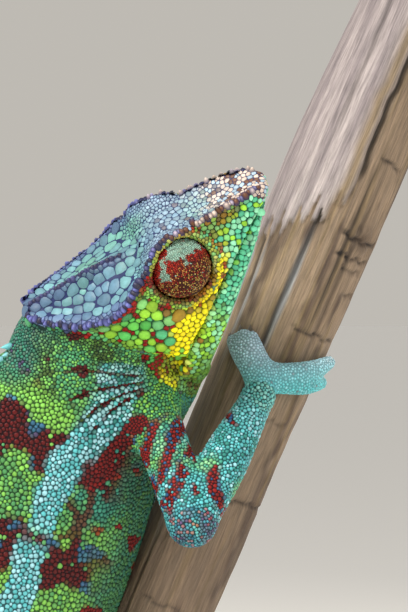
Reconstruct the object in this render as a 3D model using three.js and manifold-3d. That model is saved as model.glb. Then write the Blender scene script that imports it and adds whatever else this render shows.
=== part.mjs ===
// A panther chameleon climbing a cut length of branch, on a flat base with one short rod.
// Millimetres, +Z up. The origin is the middle of the underside of the base.
// The animal's right side faces -Y. Each part of the body is its own closed mesh.

import * as THREE from 'three';
import { mergeVertices } from 'three/addons/utils/BufferGeometryUtils.js';
import Module from 'manifold-3d';

const wasm = await Module();
wasm.setup();

// ---- Driving dimensions ----

const GAP = 0.3;                                  // clearance between neighbouring pieces

const SNOUT_TIP = new THREE.Vector3(51.9, -28, 297.7);
const HEAD_FORWARD = new THREE.Vector3(0.462, -0.485, 0.742).normalize();  // along the mouth line
const HEAD_UP = new THREE.Vector3(-0.863, -0.434, 0.254).normalize();
const HEAD_RIGHT = new THREE.Vector3().crossVectors(HEAD_FORWARD, HEAD_UP).normalize();

const EYE_RADIUS = 6.9;                           // the turret of skin round the eyeball
const EYE_BACK = -22.7;                           // its centre behind the snout tip
const EYE_UP = 9.4;
const EYE_OUT = 7.7;
const EYE_INNER_SHARE = 0.7;                      // depth of the turret's inner half to its outer half
const PUPIL_RADIUS = 1.8;                         // the eyeball that shows in the turret's opening
const PUPIL_DEPTH = 1.5;                          // its centre below the turret's surface
const TURRET_ROWS = 8;                            // rows of faces from pole to pole
const PUPIL_ROWS = 5;
const RIGHT_GAZE = [-0.497, -0.709, 0.5];         // forward, up and out from the eye's centre
const LEFT_GAZE = [0.62, 0.1, 0.78];

const BRANCH_FOOT = new THREE.Vector3(-38.6, 14, 38);
const BRANCH_LEAN = 23 * Math.PI / 180;           // from upright, towards +X
const BRANCH_LENGTH = 352;
const BRANCH_FOOT_RADIUS = 10.2;
const BRANCH_TOP_RADIUS = 12.8;

const BASE_WIDTH = 190;
const BASE_DEPTH = 150;
const BASE_THICKNESS = 12;
const BASE_CORNER = 16;
const BASE_EDGE = 1.5;                            // rounding of the base's edges
const ROD_RADIUS = 4;
const ROD_X = -35.5;
const ROD_SOCKET = 8;                             // depth of the rod in the base
const ROD_TOP = 55;

const SPINE_LENGTH = 2.4;                         // the row of spines down the back
const SPINE_SPACING = 5;
const CHIN_SPINE_LENGTH = 1.5;                    // the row under the chin

const SOLE_LIFT = 3.6;                            // middle of a digit above the branch, at the sole
const TIP_LIFT = 1.9;
const DIGIT_TIP_RADIUS = 1.9;
const CLAW_REACH = 3.6;                           // from the middle of a digit's tip
const DIGIT_MESH = [5, 2, [50]];                  // sides, steps and the rise of its end rings in degrees
const LIMB_MESH = [8, 3, [70, 38]];
const BODY_SIDES = 16;
const TAIL_SIDES = 8;

// ---- Finishes ----

const skinTeal = finish(0x4fa89a, 0.6);
const skinGreen = finish(0x6fae54, 0.6);
const casqueBlue = finish(0x8fa3b4, 0.55);
const eyeRed = finish(0x9c3020, 0.6);
const eyeDark = finish(0x0b0b0c, 0.15);
const handBlue = finish(0x52b2b8, 0.6);
const wood = finish(0x8d7a68, 0.9);
const standDark = finish(0x2b2c2e, 0.45);
const standSteel = finish(0xb9bcc0, 0.3, 0.9);

function finish(color, roughness, metalness = 0) {
  return new THREE.MeshStandardMaterial({ color, roughness, metalness });
}

// ---- Geometry helpers ----

function solid(geometry) {
  const bare = geometry.clone();
  bare.deleteAttribute('normal');
  bare.deleteAttribute('uv');
  const merged = mergeVertices(bare, 1e-4);
  return new wasm.Manifold(new wasm.Mesh({
    numProp: 3,
    vertProperties: new Float32Array(merged.attributes.position.array),
    triVerts: new Uint32Array(merged.index.array),
  }));
}

function geometryOf(body) {
  const mesh = body.getMesh();
  const indexed = new THREE.BufferGeometry();
  indexed.setAttribute('position', new THREE.BufferAttribute(new Float32Array(mesh.vertProperties), 3));
  indexed.setIndex(new THREE.BufferAttribute(new Uint32Array(mesh.triVerts), 1));
  const flat = indexed.toNonIndexed();
  flat.computeVertexNormals();
  return flat;
}

// Closed mesh through rings of equal length, each end closed by a fan on its own middle.
function closedRings(rings) {
  const count = rings[0].length;
  const middleOf = (ring) => ring
    .reduce((sum, point) => sum.add(point), new THREE.Vector3())
    .divideScalar(ring.length);
  const points = [...rings.flat(), middleOf(rings[0]), middleOf(rings[rings.length - 1])];
  const first = points.length - 2;
  const last = points.length - 1;
  const faces = [];
  for (let row = 0; row < rings.length - 1; row += 1) {
    for (let i = 0; i < count; i += 1) {
      const a = row * count + i;
      const b = row * count + (i + 1) % count;
      faces.push(a, b, b + count, a, b + count, a + count);
    }
  }
  const lastRow = (rings.length - 1) * count;
  for (let i = 0; i < count; i += 1) {
    const next = (i + 1) % count;
    faces.push(first, next, i);
    faces.push(last, lastRow + i, lastRow + next);
  }
  const geometry = new THREE.BufferGeometry();
  geometry.setAttribute('position', new THREE.Float32BufferAttribute(points.flatMap((p) => p.toArray()), 3));
  geometry.setIndex(faces);
  return geometry;
}

// A smooth curve through rows of numbers, at the fractional row t.
function rowAt(rows, t) {
  const last = rows.length - 1;
  const i = Math.min(Math.max(Math.floor(t), 0), last - 1);
  const u = t - i;
  const pick = (k) => rows[Math.min(Math.max(k, 0), last)];
  const [a, b, c, d] = [pick(i - 1), pick(i), pick(i + 1), pick(i + 2)];
  return b.map((_, k) => {
    const along = 0.5 * (c[k] - a[k]);
    const next = 0.5 * (d[k] - b[k]);
    const u2 = u * u;
    const u3 = u2 * u;
    return (2 * u3 - 3 * u2 + 1) * b[k] + (u3 - 2 * u2 + u) * along
      + (3 * u2 - 2 * u3) * c[k] + (u3 - u2) * next;
  });
}

// A tapered limb with round ends. Each stop is [point, radius].
function limb(stops, grow, sides, steps, capTurns) {
  const rows = stops.map(([point, radius]) => [...point.toArray(), radius + grow]);
  const at = (t) => rowAt(rows, t);
  const place = (t) => new THREE.Vector3(...at(t).slice(0, 3));
  const end = rows.length - 1;
  const STEP = 0.02;
  const heading = (t) => place(Math.min(t + STEP, end)).sub(place(Math.max(t - STEP, 0))).normalize();
  const rings = [];
  let side = new THREE.Vector3(0.31, 0.52, 0.79);
  const addRing = (centre, along, radius) => {
    side = side.clone().sub(along.clone().multiplyScalar(side.dot(along))).normalize();
    const other = new THREE.Vector3().crossVectors(along, side);
    rings.push(Array.from({ length: sides }, (_, i) => {
      const turn = 2 * Math.PI * i / sides;
      return centre.clone()
        .addScaledVector(side, radius * Math.cos(turn))
        .addScaledVector(other, radius * Math.sin(turn));
    }));
  };
  const firstRadius = rows[0][3];
  for (const degrees of capTurns) {
    const lift = THREE.MathUtils.degToRad(degrees);
    const centre = place(0).addScaledVector(heading(0), -firstRadius * Math.sin(lift));
    addRing(centre, heading(0), firstRadius * Math.cos(lift));
  }
  for (let i = 0; i <= steps; i += 1) {
    const t = end * i / steps;
    addRing(place(t), heading(t), at(t)[3]);
  }
  const lastRadius = rows[end][3];
  for (const degrees of [...capTurns].reverse()) {
    const lift = THREE.MathUtils.degToRad(degrees);
    const centre = place(end).addScaledVector(heading(end), lastRadius * Math.sin(lift));
    addRing(centre, heading(end), lastRadius * Math.cos(lift));
  }
  return solid(closedRings(rings));
}

// A small cone standing on a surface, its base sunk a little into it.
function spike(base, direction, radius, length, sunk = 0.8) {
  const cone = new THREE.ConeGeometry(radius, length + sunk, 4);
  cone.translate(0, (length + sunk) / 2 - sunk, 0);
  const turn = new THREE.Quaternion().setFromUnitVectors(new THREE.Vector3(0, 1, 0), direction);
  cone.applyQuaternion(turn);
  cone.translate(base.x, base.y, base.z);
  return solid(cone);
}

const joined = (bodies) => bodies.reduce((sum, body) => sum.add(body));

// ---- The branch, and places on it ----

const branchAlong = new THREE.Vector3(Math.sin(BRANCH_LEAN), 0, Math.cos(BRANCH_LEAN));
const branchLeft = new THREE.Vector3(-Math.cos(BRANCH_LEAN), 0, Math.sin(BRANCH_LEAN));
const branchFront = new THREE.Vector3(0, -1, 0);

function branchRadius(height, turn) {
  const share = height / BRANCH_LENGTH;
  const taper = THREE.MathUtils.lerp(BRANCH_FOOT_RADIUS, BRANCH_TOP_RADIUS, share ** 1.3);
  const lobes = 0.035 * Math.cos(2 * turn + 3 * share) + 0.03 * Math.cos(3 * turn - 5 * share + 1);
  const swelling = 0.16 * Math.exp(-(((share - 0.8) / 0.1) ** 2)) * Math.max(0, Math.cos(turn)) ** 2;
  return taper * (1 + lobes + swelling + 0.025 * Math.sin(17 * share + 1));
}

// Height is measured up the branch from its foot. Turn 0 is its left side and 90 its front.
function onBranch(height, degrees, lift) {
  const turn = THREE.MathUtils.degToRad(degrees);
  const reach = branchRadius(height, turn) + lift;
  return BRANCH_FOOT.clone()
    .addScaledVector(branchAlong, height)
    .addScaledVector(branchLeft, reach * Math.cos(turn))
    .addScaledVector(branchFront, reach * Math.sin(turn));
}

function branchSolid(grow = 0) {
  const SIDES = 14;
  const STEPS = 12;
  const rings = [];
  for (let k = 0; k <= STEPS; k += 1) {
    const height = BRANCH_LENGTH * k / STEPS;
    rings.push(Array.from({ length: SIDES }, (_, i) => onBranch(height, 360 * i / SIDES, grow)));
  }
  return solid(closedRings(rings));
}

const branchClear = branchSolid(GAP);

// ---- Neck, trunk and tail: one form, parted by thin cuts ----

// Middle x, y, z; dorsal direction x, y, z; height above and below the middle; half width.
const NECK_AND_TRUNK = [
  [28.4, -14.0, 273.0, -0.863, -0.434, 0.254, 9.0, 9.0, 8.0],
  [19.3, -8.5, 263.4, -0.863, -0.434, 0.254, 20.0, 24.5, 12.4],
  [17.0, -6.0, 255.0, -0.850, -0.450, 0.270, 24.5, 24.0, 12.8],
  [13.5, -3.5, 245.5, -0.830, -0.480, 0.300, 28.0, 22.5, 13.6],
  [3.6, -2.0, 226.0, -0.800, -0.500, 0.330, 30.0, 27.0, 15.2],
  [-5.5, -2.0, 204.0, -0.800, -0.500, 0.330, 30.0, 28.0, 16.0],
  [-16.0, -2.5, 179.0, -0.810, -0.470, 0.340, 28.0, 26.0, 15.6],
  [-25.0, -1.5, 153.0, -0.840, -0.390, 0.360, 22.5, 21.5, 13.6],
  [-33.0, 1.5, 131.0, -0.880, -0.300, 0.370, 15.5, 14.5, 10.8],
];
const TRUNK_STARTS = 2;                           // fractional rows of the table above
const TAIL_STARTS = NECK_AND_TRUNK.length - 0.35;

const TAIL_ROWS = 34;
const TAIL_TURNS = 2.15;                          // turns round the branch
const TAIL_FIRST_TURN = 11.3;                     // degrees
const TAIL_FIRST_HEIGHT = 69.8;                   // up the branch
const TAIL_LAST_HEIGHT = 13;
const TAIL_FIRST_REACH = 31.0;                    // from the branch's axis
const TAIL_BASE_RADIUS = 8.8;
const TAIL_TIP_RADIUS = 1.3;

function tailRow(share) {
  const radius = TAIL_TIP_RADIUS + (TAIL_BASE_RADIUS - TAIL_TIP_RADIUS) * (1 - share) ** 1.25;
  const degrees = TAIL_FIRST_TURN + 360 * TAIL_TURNS * share ** 1.3;
  const height = THREE.MathUtils.lerp(TAIL_FIRST_HEIGHT, TAIL_LAST_HEIGHT, share ** 0.62);
  const turn = THREE.MathUtils.degToRad(degrees);
  const settled = branchRadius(height, turn) + radius + 0.8;
  const spare = (TAIL_FIRST_REACH - settled) * Math.max(0, 1 - share / 0.32) ** 1.6;
  const centre = onBranch(height, degrees, radius + 0.8 + spare);
  const out = centre.clone().sub(onBranch(height, degrees, 0)).normalize();
  return [...centre.toArray(), ...out.toArray(), radius, radius * 0.95, radius * 0.86];
}

const bodyRows = [
  ...NECK_AND_TRUNK,
  ...Array.from({ length: TAIL_ROWS }, (_, i) => tailRow(i / (TAIL_ROWS - 1))),
];

function bodySection(t) {
  const [x, y, z, dx, dy, dz, above, below, half] = rowAt(bodyRows, t);
  const centre = new THREE.Vector3(x, y, z);
  const STEP = 0.02;
  const middleAt = (row) => new THREE.Vector3(...rowAt(bodyRows, row).slice(0, 3));
  const ahead = middleAt(Math.min(t + STEP, bodyRows.length - 1));
  const along = ahead.sub(middleAt(Math.max(t - STEP, 0))).normalize();
  const up = new THREE.Vector3(dx, dy, dz);
  up.addScaledVector(along, -up.dot(along)).normalize();
  const right = new THREE.Vector3().crossVectors(up, along).normalize();
  return { centre, along, up, right, above, below, half };
}

function bodyRing(t, sides, grow) {
  const { centre, up, right, above, below, half } = bodySection(t);
  return Array.from({ length: sides }, (_, i) => {
    const turn = 2 * Math.PI * i / sides;
    const rise = Math.sin(turn);
    const height = (rise > 0 ? above : below) + grow;
    const narrowing = 1 - 0.1 * rise ** 4;
    return centre.clone()
      .addScaledVector(right, (half + grow) * Math.cos(turn) * narrowing)
      .addScaledVector(up, height * rise);
  });
}

function bodyLength(from, to, steps, sides, grow = 0) {
  const rings = [];
  for (let k = 0; k <= steps; k += 1) {
    rings.push(bodyRing(from + (to - from) * k / steps, sides, grow));
  }
  return solid(closedRings(rings));
}

// The fractional row that lies one gap past row t.
function pastGap(t) {
  const STEP = 0.01;
  const here = bodySection(t).centre;
  const there = bodySection(t + STEP).centre;
  return t + STEP * GAP / here.distanceTo(there);
}

function backSpines(from, to) {
  const spikes = [];
  const STEP = 0.02;
  let travelled = SPINE_SPACING / 2;
  for (let t = from; t < to; t += STEP) {
    const { centre, up, above } = bodySection(t);
    const place = centre.clone().addScaledVector(up, above);
    const next = bodySection(t + STEP);
    travelled += place.distanceTo(next.centre.clone().addScaledVector(next.up, next.above));
    if (travelled >= SPINE_SPACING) {
      travelled = 0;
      const size = THREE.MathUtils.clamp(above / 18, 0.45, 1);
      spikes.push(spike(place, up, 0.95 * size, SPINE_LENGTH * size));
    }
  }
  return spikes;
}

// ---- Head ----

// Along the mouth from the snout tip; height of the midline; then out and up at the crest,
// the side wall, the cheek and the lip. The last rows slope up the back of the casque.
const HEAD_ROWS = [
  [0.1, -0.7, 2.4, 0.1, 2.4, -1.0, 2.2, -1.5, 1.7, -2.1],
  [-1.7, 1.5, 5.0, 3.3, 4.4, 1.0, 4.0, -0.6, 3.4, -2.2],
  [-5.6, 4.7, 6.5, 6.7, 5.4, 3.2, 5.2, 0.6, 4.8, -1.7],
  [-10.1, 8.0, 6.9, 9.9, 6.1, 5.5, 6.6, 2.0, 6.3, -1.3],
  [-13.5, 10.9, 6.9, 12.4, 6.6, 8.0, 7.8, 3.0, 7.3, -1.1],
  [-16.0, 13.4, 7.7, 14.9, 7.8, 10.0, 8.9, 3.5, 7.9, -1.0],
  [-19.5, 16.2, 8.9, 17.3, 9.5, 12.0, 10.3, 4.0, 8.6, -1.0],
  [-24.6, 17.5, 11.2, 17.9, 11.1, 12.0, 11.7, 4.5, 9.6, -1.0],
  [-28.7, 19.0, 12.9, 18.5, 12.2, 12.5, 12.9, 5.0, 10.4, -1.0],
  [-32.4, 22.4, 13.6, 18.5, 12.6, 13.0, 13.5, 5.0, 11.0, -1.0],
  [-37.3, 26.0, 13.4, 19.9, 12.4, 13.5, 13.7, 5.0, 11.4, -1.0],
  [-41.8, 28.4, 11.6, 23.3, 11.6, 15.0, 13.1, 5.0, 11.4, -1.5],
  [-44.7, 29.9, 9.4, 26.6, 10.0, 19.0, 10.6, 12.0, 8.0, 6.0],
  [-47.5, 32.2, 6.6, 30.8, 6.8, 26.4, 6.0, 22.0, 4.0, 18.0],
  [-50.0, 35.0, 2.8, 34.4, 2.8, 32.6, 2.4, 31.4, 1.5, 30.4],
];

// Along, then out and up at the lip and the side, then the height of the chin.
const JAW_ROWS = [
  [-0.9, 1.4, -2.3, 1.4, -2.6, -2.9],
  [-3.0, 2.9, -2.2, 2.8, -3.0, -3.5],
  [-7.0, 4.9, -1.9, 4.6, -3.3, -4.4],
  [-12.0, 6.4, -1.5, 6.1, -4.2, -5.8],
  [-20.0, 8.3, -1.35, 7.9, -5.2, -7.3],
  [-28.0, 10.0, -1.35, 9.5, -6.2, -8.6],
  [-36.0, 11.0, -1.35, 10.6, -7.2, -9.9],
  [-42.0, 11.2, -1.9, 10.9, -7.8, -10.9],
  [-45.5, 10.6, -2.6, 10.4, -8.4, -12.0],
  [-48.5, 9.0, -4.6, 8.8, -9.4, -12.8],
  [-51.5, 5.6, -8.0, 5.5, -10.6, -13.2],
];

function headPoint(along, out, up) {
  return SNOUT_TIP.clone()
    .addScaledVector(HEAD_FORWARD, along)
    .addScaledVector(HEAD_RIGHT, out)
    .addScaledVector(HEAD_UP, up);
}

// A mirrored ring from its right half, which runs from the top midline to the bottom midline.
function mirroredRing(along, half, grow) {
  const middle = (half[0][1] + half[half.length - 1][1]) / 2;
  const grown = half.map(([out, up]) => {
    const reach = Math.hypot(out, up - middle) || 1;
    return [out + grow * out / reach, up + grow * (up - middle) / reach];
  });
  const left = grown.slice(1, -1).reverse().map(([out, up]) => [-out, up]);
  return [...grown, ...left].reverse().map(([out, up]) => headPoint(along, out, up));
}

const between = (a, b, bulge = 0) => [(a[0] + b[0]) / 2 + bulge, (a[1] + b[1]) / 2];

function skullSolid(grow = 0) {
  const STEPS = 16;
  const last = HEAD_ROWS.length - 1;
  const rings = [];
  for (let k = 0; k <= STEPS; k += 1) {
    const [along, top, crestOut, crestUp, wallOut, wallUp, cheekOut, cheekUp, lipOut, lipUp] =
      rowAt(HEAD_ROWS, last * k / STEPS);
    const crest = [crestOut, crestUp];
    const wall = [wallOut, wallUp];
    const cheek = [cheekOut, cheekUp];
    const lip = [lipOut, lipUp];
    const half = [
      [0, top],
      [crestOut * 0.5, top * 0.55 + crestUp * 0.45 - 0.2],
      crest,
      between(crest, wall, -0.25),
      wall,
      between(wall, cheek, 0.15),
      cheek,
      between(cheek, lip, 0.35),
      lip,
      [0, lipUp],
    ];
    const ends = (k === 0 ? grow : 0) - (k === STEPS ? grow : 0);
    rings.push(mirroredRing(along + ends, half, grow));
  }
  return solid(closedRings(rings));
}

function jawSolid(grow = 0) {
  const last = JAW_ROWS.length - 1;
  const rings = [];
  for (let k = 0; k <= last; k += 1) {
    const [along, lipOut, lipUp, sideOut, sideUp, chin] = JAW_ROWS[k];
    const half = [
      [0, lipUp],
      [lipOut, lipUp],
      between([lipOut, lipUp], [sideOut, sideUp], 0.3),
      [sideOut, sideUp],
      [sideOut * 0.62, sideUp + (chin - sideUp) * 0.72],
      [0, chin],
    ];
    const ends = (k === 0 ? grow : 0) - (k === last ? grow : 0);
    rings.push(mirroredRing(along + ends, half, grow));
  }
  return solid(closedRings(rings));
}

function chinSpines() {
  const spikes = [];
  for (let k = 1; k < JAW_ROWS.length - 1; k += 1) {
    const [along, , , , , chin] = JAW_ROWS[k];
    spikes.push(spike(headPoint(along, 0, chin), HEAD_UP.clone().negate(), 0.6, CHIN_SPINE_LENGTH));
  }
  return spikes;
}

// The turret and its eyeball on one side: 1 is right and -1 left.
function eye(side, gaze) {
  const centre = headPoint(EYE_BACK, side * EYE_OUT, EYE_UP);
  const look = new THREE.Vector3()
    .addScaledVector(HEAD_FORWARD, gaze[0])
    .addScaledVector(HEAD_UP, gaze[1])
    .addScaledVector(HEAD_RIGHT, side * gaze[2])
    .normalize();
  const pupil = centre.clone().addScaledVector(look, EYE_RADIUS - PUPIL_DEPTH);
  const ball = (place, radius, rows, innerShare = 1) => {
    const sphere = new THREE.SphereGeometry(radius, rows * 2 - 4, rows);
    const positions = sphere.attributes.position;
    const outward = HEAD_RIGHT.clone().multiplyScalar(side);
    for (let i = 0; i < positions.count; i += 1) {
      const corner = new THREE.Vector3().fromBufferAttribute(positions, i);
      const inward = Math.min(0, corner.dot(outward));
      corner.addScaledVector(outward, inward * (innerShare - 1)).add(place);
      positions.setXYZ(i, ...corner.toArray());
    }
    return solid(sphere);
  };
  const pupilClear = ball(pupil, PUPIL_RADIUS + GAP, PUPIL_ROWS);
  return {
    turret: ball(centre, EYE_RADIUS, TURRET_ROWS, EYE_INNER_SHARE).subtract(pupilClear),
    eyeball: ball(pupil, PUPIL_RADIUS, PUPIL_ROWS),
    socket: ball(centre, EYE_RADIUS + GAP, TURRET_ROWS, EYE_INNER_SHARE).add(pupilClear),
  };
}

// ---- Limbs ----

// Each digit runs from the ankle over the sole to its tip, with a claw bent to the branch.
// The outer bundle grows from the side of the inner one, so it has no ankle of its own.
function digitBundle(ankle, sole, digits, fromAnkle, grow = 0) {
  const pieces = digits.map(({ turn, height }) => {
    const along = (share) => onBranch(
      THREE.MathUtils.lerp(sole.height, height, share),
      THREE.MathUtils.lerp(sole.turn, turn, share),
      THREE.MathUtils.lerp(SOLE_LIFT, TIP_LIFT, share),
    );
    const tip = along(1);
    const beyond = along(1.25);
    const stops = [[along(0.05), 3.4], [along(0.55), 2.8], [tip, DIGIT_TIP_RADIUS]];
    const digit = limb(stops, grow, ...DIGIT_MESH);
    const claw = spike(tip, beyond.sub(tip).normalize(), 1.0 + grow, CLAW_REACH + grow, 0);
    return digit.add(claw);
  });
  const palmStops = [[ankle, 3.3], [onBranch(sole.height, sole.turn, SOLE_LIFT), 3.7]];
  const palm = limb(palmStops, grow, ...DIGIT_MESH);
  return joined(fromAnkle ? [palm, ...pieces] : pieces);
}

// A leg: its upper length from inside the trunk, its lower length, and two bundles of digits.
function leg({ root, bend, ankle, upperRadii, lowerRadii, sole, inner, outer }) {
  const upperStops = [
    [root, upperRadii[0]],
    [root.clone().lerp(bend, 0.5), upperRadii[1]],
    [bend, upperRadii[2]],
  ];
  const lowerStops = [
    [bend, lowerRadii[0]],
    [bend.clone().lerp(ankle, 0.45), lowerRadii[1]],
    [ankle, lowerRadii[2]],
  ];
  const length = (stops, grow) => limb(stops, grow, ...LIMB_MESH);
  const upperClear = length(upperStops, GAP);
  const lowerClear = length(lowerStops, GAP);
  const innerClear = digitBundle(ankle, sole, inner, true, GAP);
  return {
    upper: length(upperStops, 0).subtract(bodyClear),
    lower: length(lowerStops, 0).subtract(upperClear).subtract(branchClear),
    inner: digitBundle(ankle, sole, inner, true).subtract(lowerClear).subtract(branchClear),
    outer: digitBundle(ankle, sole, outer, false)
      .subtract(innerClear)
      .subtract(lowerClear)
      .subtract(branchClear),
  };
}

const point = (x, y, z) => new THREE.Vector3(x, y, z);

const LIMBS = {
  right_arm: {
    root: point(27, -8, 250),
    bend: point(37.4, -22, 223.4),
    ankle: point(52.2, -5, 249.8),
    upperRadii: [6.6, 5.6, 5.5],
    lowerRadii: [5.0, 5.6, 3.7],
    sole: { turn: 90, height: 234.5 },
    inner: [{ turn: 66, height: 242 }, { turn: 57, height: 241.5 }, { turn: 49, height: 239.5 }],
    outer: [{ turn: 158, height: 243.5 }, { turn: 160, height: 238.5 }],
  },
  left_arm: {
    root: point(19, 3, 249),
    bend: point(25, 27, 222),
    ankle: point(16.5, 27.5, 197),
    upperRadii: [6.6, 5.6, 5.5],
    lowerRadii: [5.0, 5.6, 3.7],
    sole: { turn: -72, height: 169 },
    inner: [{ turn: -28, height: 176 }, { turn: -26, height: 171 }, { turn: -28, height: 166 }],
    outer: [{ turn: -134, height: 172 }, { turn: -134, height: 166.5 }],
  },
  right_leg: {
    root: point(-27, -6, 136),
    bend: point(-19, -25, 160),
    ankle: point(-2.5, -8, 139.5),
    upperRadii: [8.4, 6.8, 5.5],
    lowerRadii: [4.9, 5.2, 3.7],
    sole: { turn: 78, height: 105 },
    inner: [{ turn: 30, height: 110 }, { turn: 29, height: 104.5 }],
    outer: [{ turn: 140, height: 112 }, { turn: 143, height: 106.5 }, { turn: 140, height: 101 }],
  },
  left_leg: {
    root: point(-27, 5, 135),
    bend: point(-21, 30, 152),
    ankle: point(-8.5, 30, 121),
    upperRadii: [8.4, 6.8, 5.5],
    lowerRadii: [4.9, 5.2, 3.7],
    sole: { turn: -74, height: 83 },
    inner: [{ turn: -26, height: 89 }, { turn: -25, height: 83.5 }],
    outer: [{ turn: -132, height: 90 }, { turn: -136, height: 84.5 }, { turn: -132, height: 79 }],
  },
};

// ---- The pieces ----

const pieces = {};
const add = (name, body, material) => {
  pieces[name] = [body, material];
};

const skullClear = skullSolid(GAP);
const jawClear = jawSolid(GAP);
const rightEye = eye(1, RIGHT_GAZE);
const leftEye = eye(-1, LEFT_GAZE);
const bodyClear = bodyLength(0, TAIL_STARTS + 1, 26, BODY_SIDES, GAP);

const sockets = rightEye.socket.add(leftEye.socket);
add('head', skullSolid().subtract(sockets), casqueBlue);
add('lower_jaw', joined([jawSolid().subtract(skullClear), ...chinSpines()]), skinGreen);
add('right_eye_turret', rightEye.turret, eyeRed);
add('right_eyeball', rightEye.eyeball, eyeDark);
add('left_eye_turret', leftEye.turret, eyeRed);
add('left_eyeball', leftEye.eyeball, eyeDark);

const neck = bodyLength(0, TRUNK_STARTS, 5, BODY_SIDES).subtract(skullClear).subtract(jawClear);
add('neck', joined([neck, ...backSpines(1.3, TRUNK_STARTS - 0.1)]), skinGreen);
const trunk = bodyLength(pastGap(TRUNK_STARTS), TAIL_STARTS, 12, BODY_SIDES).subtract(branchClear);
add('trunk', joined([trunk, ...backSpines(TRUNK_STARTS + 0.2, TAIL_STARTS - 0.1)]), skinTeal);

const TAIL_LENGTHS = 5;
const TAIL_ENDS = bodyRows.length - 1;
const tailMark = (i) => TAIL_STARTS + (TAIL_ENDS - TAIL_STARTS) * i / TAIL_LENGTHS;
for (let i = 0; i < TAIL_LENGTHS; i += 1) {
  const length = bodyLength(pastGap(tailMark(i)), tailMark(i + 1), 7, TAIL_SIDES);
  const spikes = i === 0 ? backSpines(tailMark(0) + 0.3, tailMark(1) - 0.2) : [];
  add(`tail_${i + 1}`, joined([length, ...spikes]), skinTeal);
}

const LEG_PARTS = {
  arm: { upper: 'upper_arm', lower: 'forearm', inner: 'hand_inner', outer: 'hand_outer' },
  leg: { upper: 'thigh', lower: 'shank', inner: 'foot_inner', outer: 'foot_outer' },
};
for (const [name, sizes] of Object.entries(LIMBS)) {
  const [side, kind] = name.split('_');
  const made = leg(sizes);
  for (const [part, label] of Object.entries(LEG_PARTS[kind])) {
    const isFoot = part === 'inner' || part === 'outer';
    add(`${side}_${label}`, made[part], isFoot ? handBlue : skinTeal);
  }
}

// ---- Branch and stand ----

const ROD_FOOT = BASE_THICKNESS - ROD_SOCKET;
function rod(radius, from, to) {
  const geometry = new THREE.CylinderGeometry(radius, radius, to - from, 16);
  geometry.rotateX(Math.PI / 2);
  geometry.translate(ROD_X, BRANCH_FOOT.y, (from + to) / 2);
  return solid(geometry);
}
const rodClear = rod(ROD_RADIUS + GAP, ROD_FOOT - GAP, ROD_TOP + GAP);
add('stand_rod', rod(ROD_RADIUS, ROD_FOOT, ROD_TOP), standSteel);
add('branch', branchSolid().subtract(rodClear), wood);

function baseSolid() {
  const [halfWidth, halfDepth] = [BASE_WIDTH / 2 - BASE_EDGE, BASE_DEPTH / 2 - BASE_EDGE];
  const outline = new THREE.Shape();
  outline.absarc(halfWidth - BASE_CORNER, halfDepth - BASE_CORNER, BASE_CORNER, 0, Math.PI / 2);
  outline.absarc(BASE_CORNER - halfWidth, halfDepth - BASE_CORNER, BASE_CORNER, Math.PI / 2, Math.PI);
  outline.absarc(BASE_CORNER - halfWidth, BASE_CORNER - halfDepth, BASE_CORNER, Math.PI, 1.5 * Math.PI);
  outline.absarc(halfWidth - BASE_CORNER, BASE_CORNER - halfDepth, BASE_CORNER, 1.5 * Math.PI, 2 * Math.PI);
  const plate = new THREE.ExtrudeGeometry(outline, {
    depth: BASE_THICKNESS - 2 * BASE_EDGE,
    bevelThickness: BASE_EDGE,
    bevelSize: BASE_EDGE,
    bevelSegments: 1,
    curveSegments: 2,
  });
  plate.translate(0, 0, BASE_EDGE);
  return solid(plate);
}
add('stand_base', baseSolid().subtract(rodClear), standDark);

const group = new THREE.Group();
for (const [name, [body, material]] of Object.entries(pieces)) {
  const mesh = new THREE.Mesh(geometryOf(body), material);
  mesh.name = name;
  group.add(mesh);
}

export default group;
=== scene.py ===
"""A panther chameleon climbing a cut length of branch, on a plain display stand.

Sizes are in millimetres until a mesh is made, which is in metres. The animal's right side faces -Y.
"""

import copy

import bpy
import numpy as np
import openvdb
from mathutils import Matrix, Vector
from mathutils.bvhtree import BVHTree
from mathutils.kdtree import KDTree


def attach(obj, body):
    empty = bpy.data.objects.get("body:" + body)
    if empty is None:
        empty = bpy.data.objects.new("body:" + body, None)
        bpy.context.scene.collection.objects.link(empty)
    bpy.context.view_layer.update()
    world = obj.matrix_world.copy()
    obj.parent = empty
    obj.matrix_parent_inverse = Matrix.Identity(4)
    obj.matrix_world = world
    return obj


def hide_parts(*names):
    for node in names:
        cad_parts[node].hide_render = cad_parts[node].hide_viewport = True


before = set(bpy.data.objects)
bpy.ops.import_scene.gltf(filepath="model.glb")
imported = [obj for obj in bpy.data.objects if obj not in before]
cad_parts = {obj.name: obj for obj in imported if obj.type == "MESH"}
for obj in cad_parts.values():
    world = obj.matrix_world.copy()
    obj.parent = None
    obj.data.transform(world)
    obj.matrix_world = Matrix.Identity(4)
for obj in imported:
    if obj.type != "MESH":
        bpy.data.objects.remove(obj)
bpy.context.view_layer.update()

MM = 0.001
random = np.random.default_rng(7)

# ---- Driving sizes ----

SNOUT_TIP = np.array([51.9, -28.0, 297.7])
HEAD_FORWARD = (0.462, -0.485, 0.742)            # along the mouth line
HEAD_UP = (-0.863, -0.434, 0.254)

EYE_RADIUS = 6.9                                 # the turret of skin round the eyeball
EYE_PLACE = (-22.7, 7.7, 9.4)                    # along, out and up from the snout tip
EYE_INNER_SHARE = 0.7
EYE_CLEARANCE = 0.3
PUPIL_RADIUS = 1.8
PUPIL_DEPTH = 1.5
RIGHT_GAZE = (-0.497, -0.709, 0.5)               # forward, up and out
LEFT_GAZE = (0.62, 0.1, 0.78)

BRANCH_FOOT = np.array([-38.6, 14.0, 38.0])
BRANCH_LEAN = np.radians(23)
BRANCH_LENGTH = 352.0
BRANCH_FOOT_RADIUS = 10.2
BRANCH_TOP_RADIUS = 12.8

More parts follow.
